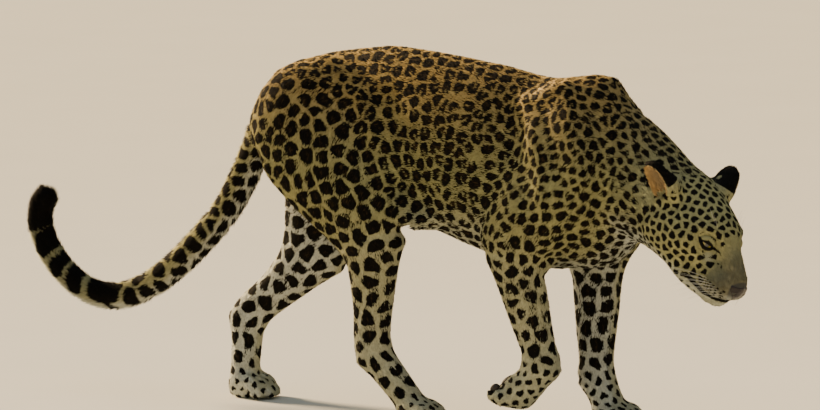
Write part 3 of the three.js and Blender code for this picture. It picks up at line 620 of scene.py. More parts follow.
def opened_socket(points, side):
    """Draws the skin in under the eyeball and its lids."""
    look = eye_axes(side)[0]
    from_eye = points - EYE_MIDDLE[side]
    distance = np.linalg.norm(from_eye, axis=1)
    away = np.degrees(np.arccos(np.clip(from_eye @ look / np.maximum(distance, 1e-6), -1, 1)))
    near = ramp(distance, *SOCKET_RIM[::-1]) * ramp(away, *SOCKET_EDGE[::-1])
    drawn = np.minimum(distance, mixed(distance, SOCKET_RADIUS, near))
    return EYE_MIDDLE[side] + from_eye * (drawn / np.maximum(distance, 1e-6))[:, None]


def make_skin():
    skin = joined([copied(n, "skin", SEAM_OVERLAP) for n in FLESH])
    apply_modifier(skin, "REMESH", mode="VOXEL", voxel_size=SKIN_VOXEL)
    skin = largest_part(skin)
    skin.name = "skin"
    owner = nearest_nodes(points_of(skin.data))
    edges = edges_of(skin.data)
    share = np.array([SMOOTHING.get(k, PLAIN_SMOOTHING) for k in KINDS])[owner]
    share = spread(share, edges, SHARE_ROUNDS)
    depth = spread(np.array([COAT[k][0] for k in KINDS])[owner] * MM, edges, DEPTH_ROUNDS)
    faceted = points_of(skin.data)
    set_points(skin.data, spread(faceted, edges, SMOOTHING_ROUNDS, share))
    smooth = points_of(skin.data)
    shrunk = ((faceted - smooth) * normals_of(skin.data)).sum(1)
    shrunk = spread(shrunk, edges, SMOOTHING_ROUNDS, share)
    points = smooth + normals_of(skin.data) * shrunk[:, None]
    depth = depth * ramp(points[:, 2], *SOLE_RISE)
    rise = raised(BODY_FORMS, all_left(points / MM) * [1, -1, 1])
    rise += raised(FACE_FORMS, all_left(in_head(points)))
    points = points + normals_of(skin.data) * (rise - depth)[:, None]
    for side in SIDES:
        points = opened_socket(points, side)
    points[:, 2] = np.maximum(points[:, 2], 0)
    set_points(skin.data, points)
    plain = np.nonzero(share > COARSE_FROM)[0].tolist()
    skin.vertex_groups.new(name="plain").add(plain, 1.0, "REPLACE")
    ratio = SKIN_TRIANGLES / (2 * len(skin.data.polygons))
    settings = {"ratio": ratio, "vertex_group": "plain", "use_collapse_triangulate": True}
    apply_modifier(skin, "DECIMATE", **settings)
    skin.vertex_groups.clear()
    surfaced(skin, skin_material())
    return skin


skin = make_skin()
SKIN_POINTS = points_of(skin.data)
SKIN_NORMALS = normals_of(skin.data)
SKIN_EDGES = edges_of(skin.data)
OWNER = nearest_nodes(SKIN_POINTS)


def regional(column, rounds=25):
    """One column of the COAT table, evened out over the skin."""
    return spread(np.array([COAT[k][column] for k in KINDS], float)[OWNER], SKIN_EDGES, rounds)


HAIR_LENGTH, TUFT_GAP, MARK_GAP, GROUND_GAP, OPEN, PALE = (regional(c) for c in range(1, 7))
LIE_ROUNDS = 60
ways = spread(np.array([lie_of(n) for n in FLESH])[OWNER], SKIN_EDGES, LIE_ROUNDS)
LIE_WAY = unit(ways - SKIN_NORMALS * (ways * SKIN_NORMALS).sum(1, keepdims=True))
SKIN_TREE = tree_of(SKIN_POINTS)


# Marks: centres spread evenly over the skin, each with its own outline


SPACING = 0.74  # the least distance between centres, as a share of the mean one
EVENING_ROUNDS = 4
FULL_TURN = 6.3


def mark_centres():
    """Vertices that keep the mark gap from one another, evened out in a few rounds."""
    free = np.ones(len(SKIN_POINTS), bool)
    chosen = []
    for i in random.permutation(len(SKIN_POINTS)):
        if free[i]:
            chosen.append(i)
            near = SKIN_TREE.find_range(SKIN_POINTS[i], MARK_GAP[i] * MM * SPACING)
            free[[j for _, j, _ in near]] = False
    centres = SKIN_POINTS[chosen]
    for _ in range(EVENING_ROUNDS):
        owner = nearest(centres, SKIN_POINTS, 1)[0][:, 0]
        counts = np.maximum(np.bincount(owner, minlength=len(centres)), 1)
        for axis in range(3):
            sums = np.bincount(owner, weights=SKIN_POINTS[:, axis], minlength=len(centres))
            centres[:, axis] = sums / counts
    return np.array([SKIN_TREE.find(c)[1] for c in centres])


def nearest(centres, points, count):
    """For each point, the indices and distances of its nearest centres."""
    tree = tree_of(centres)
    found = [tree.find_n(p, count) for p in points]
    index = np.array([[f[1] for f in row] for row in found])
    distance = np.array([[f[2] for f in row] for row in found])
    return index, distance


CENTRES = mark_centres()
CENTRE_POINTS = SKIN_POINTS[CENTRES]
CENTRE_ALONG = LIE_WAY[CENTRES]
CENTRE_ACROSS = np.cross(SKIN_NORMALS[CENTRES], CENTRE_ALONG)
CENTRE_LUCK = random.random((len(CENTRES), 6))
OVAL = 0.07  # how far a mark is from round, as shares of its size
LOBES = 0.06
MARK_REACH = (1.0, 1.12)  # the smallest and the largest a mark grows, in the same shares
CORE_LEAST = 0.35
NOTCHED = 0.55  # the share of open marks that have a gap in their ring
NOTCH_FROM = 0.7  # how far out of the core, as a share of its size, the gap begins
NOTCH_HALF_MM = 1.6
OPEN_FROM = 0.15


def marks_at(points, ground_gap, opened):
    """How far inside a mark each point lies, in mm, and how far inside a mark's brown middle."""
    index, distance = nearest(CENTRE_POINTS, points, 2)
    first = index[:, 0]
    from_centre = points - CENTRE_POINTS[first]
    along = (from_centre * CENTRE_ALONG[first]).sum(1)
    across = (from_centre * CENTRE_ACROSS[first]).sum(1)
    angle = np.arctan2(across, along)
    luck = CENTRE_LUCK[first]
    reach = distance[:, 0] / MM
    to_edge = (distance[:, 1] - distance[:, 0]) / MM / 2
    size = MARK_GAP[CENTRES][first] * 0.5
    wobble = OVAL * np.sin(2 * angle + FULL_TURN * luck[:, 0])
    wobble = wobble + LOBES * np.sin(3 * angle + FULL_TURN * luck[:, 1])
    grown = size * mixed(MARK_REACH[1], MARK_REACH[0], luck[:, 2])
    edge = np.minimum(to_edge - ground_gap / 2, grown - reach) + size * wobble
    middle_size = size * opened * mixed(CORE_LEAST, 1, luck[:, 3])
    core = middle_size - reach
    turned = angle - FULL_TURN * luck[:, 4]
    beside = np.where(np.cos(turned) > 0, reach * np.abs(np.sin(turned)), reach)
    notched = (luck[:, 5] < NOTCHED) & (opened > OPEN_FROM) & (reach > middle_size * NOTCH_FROM)
    edge = np.where(notched, np.minimum(edge, beside - NOTCH_HALF_MM), edge)
    return edge, core


# Lines drawn on the head: each runs between two points of its frame, with a half width at each end.
# Those of one side are drawn on both.
HEAD_LINES = [
    ((15, 32, -3), (33, 26, -3), 3.2, 2.6),  # from the inner corner of the eye
    ((33, 26, -3), (52, 24, -22), 2.6, 1.4),  # down beside the muzzle
    ((0, 51, -1), (-28, 60, 8), 3.2, 1.8),  # behind the outer corner
    ((16, 34, 11), (-8, 46, 14), 2.4, 1.8),  # above the lids
    ((12, 42, -18), (-10, 54, -14), 2.0, 1.4),  # below the lids
    ((24, 12, 20), (10, 10, 28), 2.4, 3.0),
]
# Rows of whisker spots on the upper lip: height and how many. Odd rows stand a little back.
WHISKER_ROWS = [(-47, 5), (-52, 6), (-57, 6), (-62, 5)]
WHISKER_GAP = 8.5
ROW_SHIFT = 2
WHISKER_SPOT = 1.9
SPOTS_FROM = 88  # along the muzzle
LIP_FROM = 36
# Line between the lips, along the muzzle and up
MOUTH = [(104, -64), (92, -68), (76, -73), (54, -75), (32, -73), (12, -69)]
MOUTH_HALF = 4.0
CLEARED = 12  # how far below nothing a mark's depth goes where the face is plain


def head_marks(points, edge):
    """Clears the bare parts of the face, and adds the drawn lines and the whisker rows."""
    p = in_head(points)
    folded = all_left(p)
    on_head = (p[:, 0] > -40) & (p[:, 0] < 125) & (np.abs(p[:, 1]) < 75) & (np.abs(p[:, 2]) < 110)
    bridge = ramp(p[:, 0], 18, 36) * ramp(np.abs(p[:, 1]), 27, 19)
    muzzle = ramp(p[:, 0], 40, 58)
    around_eye = ramp(np.linalg.norm(folded - [8, 40, -3], axis=1), 24, 17)
    clear = np.maximum.reduce([bridge, muzzle, around_eye]) * on_head
    edge = edge - CLEARED * clear
    for a, b, width_a, width_b in HEAD_LINES:
        away, along = distance_to_line(folded, a, b)
        line = mixed(width_a, width_b, along) - away
        edge = np.where(on_head, np.maximum(edge, line), edge)
    on_lip = on_head & (p[:, 0] > LIP_FROM)
    for row, (height, count) in enumerate(WHISKER_ROWS):
        for k in range(count):
            spot = (SPOTS_FROM - WHISKER_GAP * k - ROW_SHIFT * (row % 2), height - 0.3 * k)
            away = np.hypot(p[:, 0] - spot[0], p[:, 2] - spot[1])
            edge = np.where(on_lip, np.maximum(edge, WHISKER_SPOT - away), edge)
    flat = p * [1, 0, 1]
    for (x0, z0), (x1, z1) in zip(MOUTH, MOUTH[1:]):
        away, _ = distance_to_line(flat, (x0, 0, z0), (x1, 0, z1))
        edge = np.where(on_head, np.maximum(edge, MOUTH_HALF - away), edge)
    return edge


# Dark bars across the throat, the chest and the inner side of the left foreleg: ends in mm, width
BODY_BARS = [
    ((506, -66, 398), (566, -72, 386), 5),
    ((490, -66, 372), (560, -62, 367), 5),
    ((468, -60, 348), (530, -30, 350), 5),
    ((448, -46, 324), (500, 0, 322), 5),
    ((372, 36, 292), (405, 44, 281), 9),
    ((405, 44, 281), (444, 96, 268), 8),
]


def body_bars(points, edge):
    p = points / MM
    for a, b, width in BODY_BARS:
        away, along = distance_to_line(p, a, b)
        edge = np.maximum(edge, width * (1 - 0.5 * np.abs(2 * along - 1)) - away)
    return edge


# Ears: black behind with a pale patch; in the cup, cream hair in painted sunlight and painted shade.
# Root, length way and way that each faces.
EARS = {
    "_left": ((-94, 56, 33), (-0.42, 0.47, 0.78), (0.1, 0.9, 0.1)),
    "_right": ((-110, -70, 25), (-0.64, -0.6, 0.48), (-0.29, -0.95, -0.12)),
}
EAR_CUP = np.array([25, 0, 14])
EAR_CUP_SIZE = np.array([33, 25, 22])
EAR_SPOT = np.array([24, 0, 0])
EAR_SPOT_SIZE = 11


def in_ear(points, side):
    """Points in the frame of an ear, in mm: x to its tip, z the way that its cup opens."""
    root, up, facing = (np.array(v, float) for v in EARS[side])
    x = unit(up)
    y = unit(np.cross(facing, x))
    return (in_head(points) - root) @ np.stack([x, y, np.cross(x, y)], axis=1)


def ear_cup(points, side):
    """1 inside the cup of an ear, 0 outside it."""
    away = np.linalg.norm((in_ear(points, side) - EAR_CUP) / EAR_CUP_SIZE, axis=1)
    return ramp(away, 1.12, 1.02)


def ear_marks(points, owner, edge):
    for side in SIDES:
        here = owner == FLESH.index("ear" + side)
        if not here.any():
            continue
        p = in_ear(points, side)
        spot = EAR_SPOT_SIZE - np.linalg.norm((p - EAR_SPOT) * [0.8, 1, 0.5], axis=1)
        black = np.minimum(6 - 14 * ear_cup(points, side), -spot)
        black = np.minimum(black, np.minimum(p[:, 0] - 10, 9 - p[:, 2]))
        edge = np.where(here, black, edge)
    return edge


# Tail: black rings towards its tip, open below
TAIL_NODES = [f"tail_{i}" for i in range(1, 6)]
TAIL_MIDDLES = np.array([middle(n) for n in TAIL_NODES])
RINGS_FROM = 0.6
RING_GAP = 0.056
BLACK_TIP = 0.075
TAIL_STEPS = 160
TAIL_ROUNDS = 60
ROOT_INSET = 0.02  # how far inside its node's box the middle line starts


def tail_line():
    """Points along the middle of the tail, from root to tip, and how far along each is."""
    ends = [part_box(n) for n in (TAIL_NODES[0], TAIL_NODES[-1])]
    corner = ends[0][1]
    root = np.array([corner[0] - ROOT_INSET, TAIL_MIDDLES[0][1], corner[2] - ROOT_INSET])
    low, high = ends[1]
    tip = np.array([(low[0] + high[0]) / 2, (low[1] + high[1]) / 2, high[2]])
    rough = np.vstack([root, TAIL_MIDDLES, tip])
    steps = np.concatenate([[0], np.cumsum(np.linalg.norm(np.diff(rough, axis=0), axis=1))])
    fine = np.linspace(0, steps[-1], TAIL_STEPS)
    line = np.stack([np.interp(fine, steps, rough[:, k]) for k in range(3)], axis=1)
    for _ in range(TAIL_ROUNDS):
        line[1:-1] = (line[:-2] + line[2:]) / 2 * 0.5 + line[1:-1] * 0.5
    return line, fine


TAIL_LINE, TAIL_ALONG = tail_line()


def tail_share(points, normals):
    """How far along the tail each point is, and how much it faces the tail's pale under side."""
    index = nearest(TAIL_LINE, points, 1)[0][:, 0]
    way = unit(np.gradient(TAIL_LINE, axis=0))[index]
    under = np.stack([-way[:, 2], np.zeros(len(way)), way[:, 0]], axis=1)
    return TAIL_ALONG[index], (normals * under).sum(1)


def tail_marks(points, normals, owner, edge):
    here = np.isin(owner, [FLESH.index(n) for n in TAIL_NODES])
    if not here.any():
        return edge
    along, under = tail_share(points[here], normals[here])
    wave = np.cos(2 * np.pi * along / RING_GAP + 1.5 * np.sin(31 * along) + 1.1 * under)
    rings = (wave + 0.8 - 2.3 * ramp(under, 0.1, 0.9)) * RING_GAP / MM / 6
    tip = (along - (TAIL_ALONG[-1] - BLACK_TIP)) / MM
    share = ramp(along / TAIL_ALONG[-1], RINGS_FROM, RINGS_FROM + 0.1)
    result = edge.copy()
    result[here] = mixed(edge[here], np.maximum(rings, tip), share)
    return result


# Pale parts: belly, inner sides of the legs, throat, chin, below the eyes, and under the tail
EAR_PALE = 0.15
CHEEK = np.array([22, 36, -20])


def paleness(points, normals, owner, base):
    belly, back = (corner[2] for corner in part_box("loin"))
    height = (points[:, 2] - belly) / (back - belly)
    pale = base.copy()
    for index, kind in enumerate(KINDS):
        here = owner == index
        if not here.any():
            continue
        side = SIDES.get(suffix_of(FLESH[index]), 0)
        added = 0 * pale[here]
        if kind == "ear":
            pale[here] = EAR_PALE
        elif kind in ("loin", "chest", "pelvis"):
            low = ramp(height[here], 0.3, 0.02) * 0.6
            added = np.maximum(low, ramp(normals[here, 2], -0.4, -0.95) * 0.75)
        elif kind == "neck":
            added = ramp(normals[here, 2], -0.1, -0.75)
        elif kind.startswith("tail"):
            added = ramp(tail_share(points[here], normals[here])[1], 0.25, 0.75)
        elif side:
            inner = ramp(-normals[here, 1] * side, 0.05, 0.6)
            added = np.maximum(inner, ramp(points[here, 2], 0.4, 0.12) * 0.5)
        elif kind in ("head", "lower_jaw"):
            p = in_head(points[here])
            chin = ramp(p[:, 2], -64, -80) * 0.6
            lip = ramp(p[:, 0], 56, 80) * ramp(p[:, 2], -44, -58) * 0.45
            cheek = ramp(np.linalg.norm(all_left(p) - CHEEK, axis=1), 14, 6) * 0.5
            added = np.maximum.reduce([chin, lip, cheek])
        pale[here] = np.maximum(pale[here], added)
    return pale


BACK = linear("#b0965a")
FLANK = linear("#aba66e")
WHITE = linear("#d3d7cb")
# greyer fur of the bridge and muzzle, darkened further as painted shade
BRIDGE_GREY_AND_SHADE = linear("#6f6848")
LEATHER = linear("#1f1813")
# cream hair of the ear's cup, painted golden as if in warm low sunlight
EAR_CREAM_SUNLIT = linear("#d0a254")
NOSE_MIDDLE = in_head(middle("nose"))


def ground_colour(points, owner, pale):
    """Golden along the back, olive tawny on the flanks, and near white where it is pale; the face
    carries painted shade, and the ear cups carry painted sunlight.
    """
    high = ramp(points[:, 2], 0.46, 0.66)
    tawny = mixed(everywhere(FLANK, points), BACK, high)
    face = in_head(points)
    on_face = np.isin(owner, [FLESH.index("head"), FLESH.index("nose")])
    # towards the muzzle the face darkens: greyer fur and painted shade
    tawny = mixed(tawny, BRIDGE_GREY_AND_SHADE, ramp(face[:, 0], 10, 74) * on_face)
    leather = ramp(np.linalg.norm(face - NOSE_MIDDLE, axis=1), 25, 21)
    tawny = mixed(tawny, LEATHER, leather)
    for side in SIDES:
        cup = ear_cup(points, side) * (owner == FLESH.index("ear" + side))
        # painted shade deep in the cup, and painted sunlight towards its rim
        lit = 0.35 + 0.65 * ramp(in_ear(points, side)[:, 2], -6, 12)
        tawny = mixed(tawny, EAR_CREAM_SUNLIT * lit[:, None], cup)
    return mixed(tawny, WHITE, np.clip(pale, 0, 1))


def coat_at(points, normals, owner, vertex):
    """Ground colour, dark colour and mark depth of the coat at points near some skin vertices."""
    edge, core = marks_at(points, GROUND_GAP[vertex], OPEN[vertex])
    edge = body_bars(points, head_marks(points, edge))
    edge = ear_marks(points, owner, edge)
    edge = tail_marks(points, normals, owner, edge)
    pale = paleness(points, normals, owner, PALE[vertex])
    pale = PALE_SPREAD[vertex] * (1 - SHARP_SHARE) + pale * SHARP_SHARE
    ground = ground_colour(points, owner, pale)
    brown = ramp(core, -CORE_BLUR_MM, CORE_BLUR_MM)
    return ground, mixed(everywhere(DARK_HAIR, points), CORE_HAIR, brown), edge


PALE_ROUNDS = 30
PALE_SPREAD = spread(paleness(SKIN_POINTS, SKIN_NORMALS, OWNER, PALE), SKIN_EDGES, PALE_ROUNDS)
SHARP_SHARE = 0.4  # how much of the paleness keeps its own edges
CORE_BLUR_MM = 1.2


def store(mesh, name, kind, values):
    """Keeps one value for each vertex of a mesh."""
    made = mesh.attributes.new(name, kind, "POINT")
    key = {"FLOAT": "value", "FLOAT_VECTOR": "vector", "FLOAT_COLOR": "color"}[kind]
    if kind == "FLOAT_COLOR":
        values = np.concatenate([values, np.ones((len(values), 1))], axis=1)
    made.data.foreach_set(key, np.ascontiguousarray(values, np.float32).ravel())


def store_coat(mesh, ground, dark, mark):
    """Keeps what the coat's materials read: two colours, and the depth inside a mark."""
    store(mesh, "ground", "FLOAT_COLOR", ground)
    store(mesh, "dark", "FLOAT_COLOR", dark)
    store(mesh, "mark", "FLOAT", mark)


GROUND, DARK, MARK = coat_at(SKIN_POINTS, SKIN_NORMALS, OWNER, np.arange(len(SKIN_POINTS)))
store_coat(skin.data, GROUND, DARK, MARK)


def finish(piece, nodes=()):
    """Rides the piece on the still body, and hides the nodes that it stands in for."""
    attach(piece, "root")
    if nodes:
        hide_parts(*nodes)


finish(skin, [n for n in FLESH if n != "nose"])


# Tufts of fur: each is a thin closed spike of four faces that lies along the coat

TUFT_FACES = np.array([(0, 2, 1), (0, 1, 3), (1, 2, 3), (2, 0, 3)])
TUFT_POINTS = 4
TUFT_SUNK = 0.0008
BAKE_PATCH = 0.003
BAKE_PLACES = np.array([[0, 0], [1, 0], [0.5, 0.35], [0.5, 1]]) - 0.5
TUFTS_PER_PIECE = 48000
TUFT_RIDGE = 0.9  # a tuft's height at its root, as a share of half its width


def at_tip(root, tip):
    """One value for each point of each tuft: the root's three times, and then the tip's."""
    return np.stack([root, root, root, tip], axis=1).reshape(-1, *root.shape[1:])


def build_tufts(name, root, tip, across, normal, half, values, patch, material):
    """Joins tufts into one mesh; values has the coat's values in pairs, for root and tip."""
    count = len(root)
    sunk = root - normal * TUFT_SUNK
    side = across * half[:, None]
    top = sunk + normal * half[:, None] * TUFT_RIDGE
    points = np.stack([sunk - side, sunk + side, top, tip], axis=1).reshape(-1, 3)
    points[:, 2] = np.maximum(points[:, 2], 0)
    corners = TUFT_FACES.ravel()
    loops = (np.arange(count)[:, None] * TUFT_POINTS + corners).ravel()
    starts = np.arange(0, len(loops), 3)
    mesh = bpy.data.meshes.new(name)
    mesh.vertices.add(len(points))
    set_points(mesh, points)
    mesh.loops.add(len(loops))
    mesh.loops.foreach_set("vertex_index", loops.astype(np.int32))
    mesh.polygons.add(len(starts))
    mesh.polygons.foreach_set("loop_start", starts.astype(np.int32))
    mesh.update(calc_edges=True)
    store_coat(mesh, *(at_tip(*pair) for pair in values))
    store(mesh, "under", "FLOAT_VECTOR", at_tip(normal, normal))
    store(mesh, "along", "FLOAT", at_tip(np.zeros(count), np.ones(count)))
    places = (patch[:, None, :] + BAKE_PLACES[corners][None, :, :] * BAKE_PATCH).reshape(-1, 2)
    uv = mesh.uv_layers.new(name="OFBake")
    uv.data.foreach_set("uv", np.clip(places, 0, 1).astype(np.float32).ravel())
    mesh.materials.append(material)
    return linked(name, mesh)


# What keeps a node's places on the unwrap apart from those of the next node
COLUMN_EDGE = 0.02
ROW_EDGE = 0.01


def unwrapped(points, owner, members):
    """Unwraps each node of a piece to a column: round the node across it, along the node up it."""
    places = np.full((len(points), 2), 0.5)
    for column, index in enumerate(members):
        here = owner == index
        if not here.any():
            continue
        axis = lie_of(FLESH[index])
        side = unit(np.cross(axis, [0.31, 0.95, 0.05]))
        other = np.cross(axis, side)
        p = points[here] - middle(FLESH[index])
        turn = (np.arctan2(p @ other, p @ side) / (2 * np.pi) + 0.5) % 1
        rise = p @ axis
        rise = (rise - rise.min()) / max(float(np.ptp(rise)), 1e-6)
        places[here, 0] = (column + mixed(COLUMN_EDGE, 1 - COLUMN_EDGE, turn)) / len(members)
        places[here, 1] = mixed(ROW_EDGE, 1 - ROW_EDGE, rise)
    return places


skin.data.calc_loop_triangles()
TRIANGLES = rows(skin.data.loop_triangles, "vertices", 3, np.int32)
CORNERS = SKIN_POINTS[TRIANGLES]
TWO_SIDES = CORNERS[:, 1:] - CORNERS[:, :1]
TRIANGLE_AREA = np.linalg.norm(np.cross(TWO_SIDES[:, 0], TWO_SIDES[:, 1]), axis=1) / 2

# Coat pieces, and the parts that each covers
COAT_PIECES = {
    "fur_head": ["head", "lower_jaw", "ear"],
    "fur_neck": ["neck", "shoulder"],
    "fur_chest": ["chest"],
    "fur_loin": ["loin"],
    "fur_rump": ["pelvis", "thigh"],
    "fur_forelegs": ["forearm", "fore_paw"],
    "fur_hindlegs": ["shank", "metatarsus", "hind_paw"],
    "fur_tail": TAIL_NODES,
}
LENGTH_SPREAD = 0.3
WAY_SPREAD = 0.16
WIDTH_SPREAD = (0.75, 1.15)
LIFT_SPREAD = (0.5, 1.35)
SHADE_SPREAD = (0.84, 1.16)
EDGE_SPREAD_MM = 0.6  # how ragged the tufts make the edge of a mark
LIFT_SHARE = {"fur_tail": 0.42, "fur_head": 0.16}
PLAIN_LIFT = 0.22
# Bare places, in mm from the middle of an eye's socket and of the nose, and the soles on the floor
BARE_EYE = ((8, 42, -2), 15)
BARE_NOSE = 21
SOLE_HEIGHT = 0.006


def scatter_tufts(name, kinds, material):
    """Sets tufts on the skin of some nodes, evenly but at random."""
    members = [i for i, kind in enumerate(KINDS) if kind in kinds]
    covered = np.isin(OWNER[TRIANGLES[:, 0]], members)
    triangles = TRIANGLES[covered]
    gap = TUFT_GAP[triangles].mean(1) * MM
    wanted = TRIANGLE_AREA[covered] / gap**2
    wanted = wanted * min(1.0, TUFTS_PER_PIECE / wanted.sum())
    counts = np.floor(wanted + random.random(len(wanted))).astype(int)
    picked = np.repeat(triangles, counts, axis=0)
    shares = random.random((len(picked), 2))
    shares = np.where(shares.sum(1, keepdims=True) > 1, 1 - shares, shares)
    weights = np.stack([1 - shares.sum(1), shares[:, 0], shares[:, 1]], axis=1)
    fields = (SKIN_POINTS, SKIN_NORMALS, LIE_WAY)
    root, normal, lie = ((f[picked] * weights[:, :, None]).sum(1) for f in fields)
    normal = unit(normal)
    vertex = picked[np.arange(len(picked)), weights.argmax(1)]
    owner = OWNER[vertex]
    p = in_head(root)
    eyes = np.linalg.norm(all_left(p) - BARE_EYE[0], axis=1) < BARE_EYE[1]
    nose = np.linalg.norm(p - NOSE_MIDDLE, axis=1) < BARE_NOSE
    sole = (root[:, 2] < SOLE_HEIGHT) & (normal[:, 2] < -0.5)
    keep = ~(eyes | nose | sole)
    root, normal, lie, vertex, owner = (a[keep] for a in (root, normal, lie, vertex, owner))
    count = len(root)
    across = np.cross(normal, lie)
    way = unit(lie + across * random.normal(0, WAY_SPREAD, (count, 1)))
    across = np.cross(normal, way)
    length = HAIR_LENGTH[vertex] * MM * (1 + LENGTH_SPREAD * random.uniform(-1, 1, count))
    half = TUFT_GAP[vertex] * MM * 0.5 * random.uniform(*WIDTH_SPREAD, count)
    lift = length * LIFT_SHARE.get(name, PLAIN_LIFT) * random.uniform(*LIFT_SPREAD, count)
    tip = root + way * length[:, None] + normal * lift[:, None]
    shade = random.uniform(*SHADE_SPREAD, (count, 1))
    drift = random.normal(0, EDGE_SPREAD_MM, count)
    half_way = coat_at((root + tip) / 2, normal, owner, vertex)
    at_end = coat_at(tip, normal, owner, vertex)
    values = [
        (half_way[0] * shade, at_end[0] * shade),
        (half_way[1] * shade, at_end[1] * shade),
        (2 * half_way[2] - at_end[2] + drift, at_end[2] + drift),
    ]
    patch = unwrapped(root, owner, members)
    piece = build_tufts(name, root, tip, across, normal, half, values, patch, material)
    finish(piece)


tuft_look = tuft_material()
for name, kinds in COAT_PIECES.items():
    scatter_tufts(name, kinds, tuft_look)


# Eyes, lids, nose, pads and whiskers


def add_eye(side, material):
    look = eye_axes(side)[0]
    bpy.ops.mesh.primitive_uv_sphere_add(segments=40, ring_count=28, radius=EYE_RADIUS)
    eye = bpy.context.object
    eye.name = "eyeball" + side
    points = unit(points_of(eye.data))
    turned = points @ np.array(Vector(look).to_track_quat("Z", "Y").to_matrix()).T
    away = np.degrees(np.arccos(np.clip(turned @ look, -1, 1)))
    rise = CORNEA_RISE * ramp(away, 40, 8)
    set_points(eye.data, EYE_MIDDLE[side] + turned * (EYE_RADIUS + rise)[:, None])
    store(eye.data, "gaze", "FLOAT", away / 90)
    surfaced(eye, material)
    finish(eye, ["eye" + side])


# The slit, in degrees seen from the eye's middle: to each corner, to the upper and the lower lid
SLIT_CORNER = 60
SLIT_UPPER = 8
SLIT_LOWER = 14
LID_RINGS = [  # degrees out from the slit, mm from the eye's middle and how dark it is
    (0, 15.2, 1.0),
    (4, 16.7, 1.0),
    (11, 17.5, 1.0),
    (20, 18.0, 0.55),
    (32, 18.2, 0.2),
    (46, 17.8, 0.0),
    (62, 14.5, 0.0),
]
LID_LIMIT = 100
LID_STEPS = 56
LID_THICKNESS = 0.0008
LID_SHADE = 0.75  # painted shade: the lids are darker than the coat round them
SLIT_POWER = 1.5  # between a diamond's 1 and an oval's 2


def add_lids(side, material):
    """A ring of skin round the eye, dark along its edge, that sinks into the coat outside."""
    look, outer, upper = eye_axes(side)
    turn = np.linspace(0, 2 * np.pi, LID_STEPS, endpoint=False)
    tall = np.where(np.sin(turn) > 0, SLIT_UPPER, SLIT_LOWER)
    across, over = np.abs(np.cos(turn)) / SLIT_CORNER, np.abs(np.sin(turn)) / tall
    slit = (across**SLIT_POWER + over**SLIT_POWER) ** (-1 / SLIT_POWER)
    ways = np.cos(turn)[:, None] * outer + np.sin(turn)[:, None] * upper
    points = []
    for reach, distance, _ in LID_RINGS:
        angle = np.radians(np.minimum(slit + reach, LID_LIMIT))[:, None]
        ring = look * np.cos(angle) + ways * np.sin(angle)
        points.append(EYE_MIDDLE[side] + ring * distance * MM)
    darkness = np.repeat([dark for _, _, dark in LID_RINGS], LID_STEPS)
    faces = []
    for inner in range(0, len(darkness) - LID_STEPS, LID_STEPS):
        outside = inner + LID_STEPS
        for j in range(LID_STEPS):
            k = (j + 1) % LID_STEPS
            face = (inner + j, outside + j, outside + k, inner + k)
            faces.append(face if SIDES[side] < 0 else face[::-1])
    mesh = bpy.data.meshes.new("lids" + side)
    mesh.from_pydata(np.concatenate(points).tolist(), [], faces)
    lids = linked("lids" + side, mesh)
    apply_modifier(lids, "SOLIDIFY", thickness=LID_THICKNESS, offset=-1.0)
    place = points_of(lids.data)
    vertex = np.array([SKIN_TREE.find(p)[1] for p in place])
    mark = np.maximum(np.resize(darkness, len(place)) * 6 - 3, MARK[vertex])
    # the lids' ground colour carries painted shade
    store_coat(lids.data, GROUND[vertex] * LID_SHADE, everywhere(DARK_HAIR, place), mark)
    surfaced(lids, material)
    finish(lids)


NOSE_SWELL = 0.0006
NOSE_VOXEL = 0.0011
NOSE_ROUNDS = 6


def add_nose():
    nose = copied("nose", "nose_pad", NOSE_SWELL)
    apply_modifier(nose, "REMESH", mode="VOXEL", voxel_size=NOSE_VOXEL)
    set_points(nose.data, spread(points_of(nose.data), edges_of(nose.data), NOSE_ROUNDS))
    surfaced(nose, leather_material("damp nose leather", "#261b18", 0.9, 0.4))
    finish(nose, ["nose"])


# The lifted forepaw shows its sole. Its frame, then middles and half sizes of the pads in it, in mm
PAW_ORIGIN = np.array([322.7, -74.2, 74])
PAW_AXES = np.array(Matrix.Rotation(math.radians(140), 3, "Y"))
PADS = [
    ((4, 0, -34), (17, 21, 8)),
    ((31, 12, -36), (10, 8, 7)),
    ((31, -12, -36), (10, 8, 7)),
    ((21, 32, -35), (10, 8, 7)),
    ((21, -32, -35), (10, 8, 7)),
]


def add_pads():
    bpy.ops.object.select_all(action="DESELECT")
    pads = []
    for centre, half in PADS:
        bpy.ops.mesh.primitive_uv_sphere_add(segments=28, ring_count=18, radius=1)
        pad = bpy.context.object
        place = points_of(pad.data) * half + centre
        set_points(pad.data, (PAW_ORIGIN + place @ PAW_AXES.T) * MM)
        pad.matrix_world = Matrix.Identity(4)
        pads.append(pad)
    sole = joined(pads)
    sole.name = "paw_pads"
    surfaced(sole, leather_material("dry paw leather", "#2b2420", 1.2, 0.6))
    finish(sole)


WHISKER_STEPS = 9
WHISKER_REACH = 0.149  # the farthest that a whisker goes to the animal's right
WHISKER_RADIUS = 0.0003
WHISKER_TAPER = 0.85
WHISKER_DROOP = 0.014
WHISKER_SUNK = 2  # how far in mm its root lies under the skin
ROOTS_FROM = 84  # along the muzzle
PROBE = 0.12  # how far outside the middle plane the search for a root's place begins
BROW_HAIRS = 3


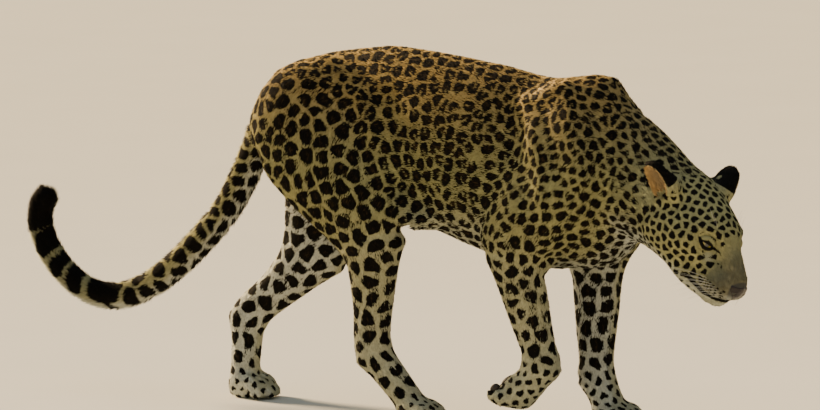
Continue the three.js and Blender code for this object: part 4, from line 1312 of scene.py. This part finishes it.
def add_whiskers(material):
    """Long stiff hairs from the rows of the upper lip, and a few from each brow."""
    tree = bvhtree.BVHTree.FromPolygons(SKIN_POINTS.tolist(), TRIANGLES.tolist())
    roots = []
    for side in (-1, 1):
        for row, (height, count) in enumerate(WHISKER_ROWS):
            for k in range(count):
                start = (ROOTS_FROM - WHISKER_GAP * k - ROW_SHIFT * (row % 2), 0, height)
                sweep = (-0.8 - 0.2 * k, 0.9 * side, -0.35 - 0.18 * row)
                roots.append((start, (0, side, 0), sweep, 72 - 7 * row + 3 * k))
        for k in range(BROW_HAIRS):
            roots.append(((2 - 8 * k, 24 * side, 0), (0, 0.3 * side, 1), (-0.6, 0.3 * side, 0.7), 40))
    points = []
    faces = []
    for start, probe, sweep, length in roots:
        probe_way = Vector(HEAD_AXES @ unit(probe))
        hit = tree.ray_cast(Vector(from_head(start)) + probe_way * PROBE, -probe_way)[0]
        if hit is None:
            continue
        way = HEAD_AXES @ unit(np.array(sweep) + random.normal(0, 0.05, 3))
        if way[1] < 0:
            length = min(length, (WHISKER_REACH + hit[1]) / -way[1] / MM)
        down = np.array([0, 0, -1.0])
        side_way = unit(np.cross(way, down))
        other = np.cross(way, side_way)
        base = len(points)
        for t in np.linspace(0, 1, WHISKER_STEPS):
            centre = np.array(hit) + way * (length * t - WHISKER_SUNK) * MM
            centre = centre + down * WHISKER_DROOP * t * t
            radius = WHISKER_RADIUS * (1 - WHISKER_TAPER * t)
            for angle in np.linspace(0, 2 * np.pi, 3, endpoint=False):
                points.append(centre + radius * (side_way * np.cos(angle) + other * np.sin(angle)))
        last = len(points) - 3
        for first in range(base, last, 3):
            for a, b in ((first, first + 1), (first + 1, first + 2), (first + 2, first)):
                faces.append((a, b, b + 3, a + 3))
        faces.append((base + 2, base + 1, base))
        faces.append((last, last + 1, last + 2))
    mesh = bpy.data.meshes.new("whiskers")
    mesh.from_pydata([list(p) for p in points], [], faces)
    whiskers = linked("whiskers", mesh)
    only(whiskers)
    bpy.ops.object.mode_set(mode="EDIT")
    bpy.ops.mesh.select_all(action="SELECT")
    bpy.ops.mesh.normals_make_consistent(inside=False)
    bpy.ops.object.mode_set(mode="OBJECT")
    mesh.materials.append(material)
    finish(whiskers)


wet_eye = eye_material()
lid_look = skin_material()
for side_name in SIDES:
    add_eye(side_name, wet_eye)
    add_lids(side_name, lid_look)
add_nose()
add_pads()
add_whiskers(plain_hair_material("whisker hair", "#d8d4c4", 0.45))
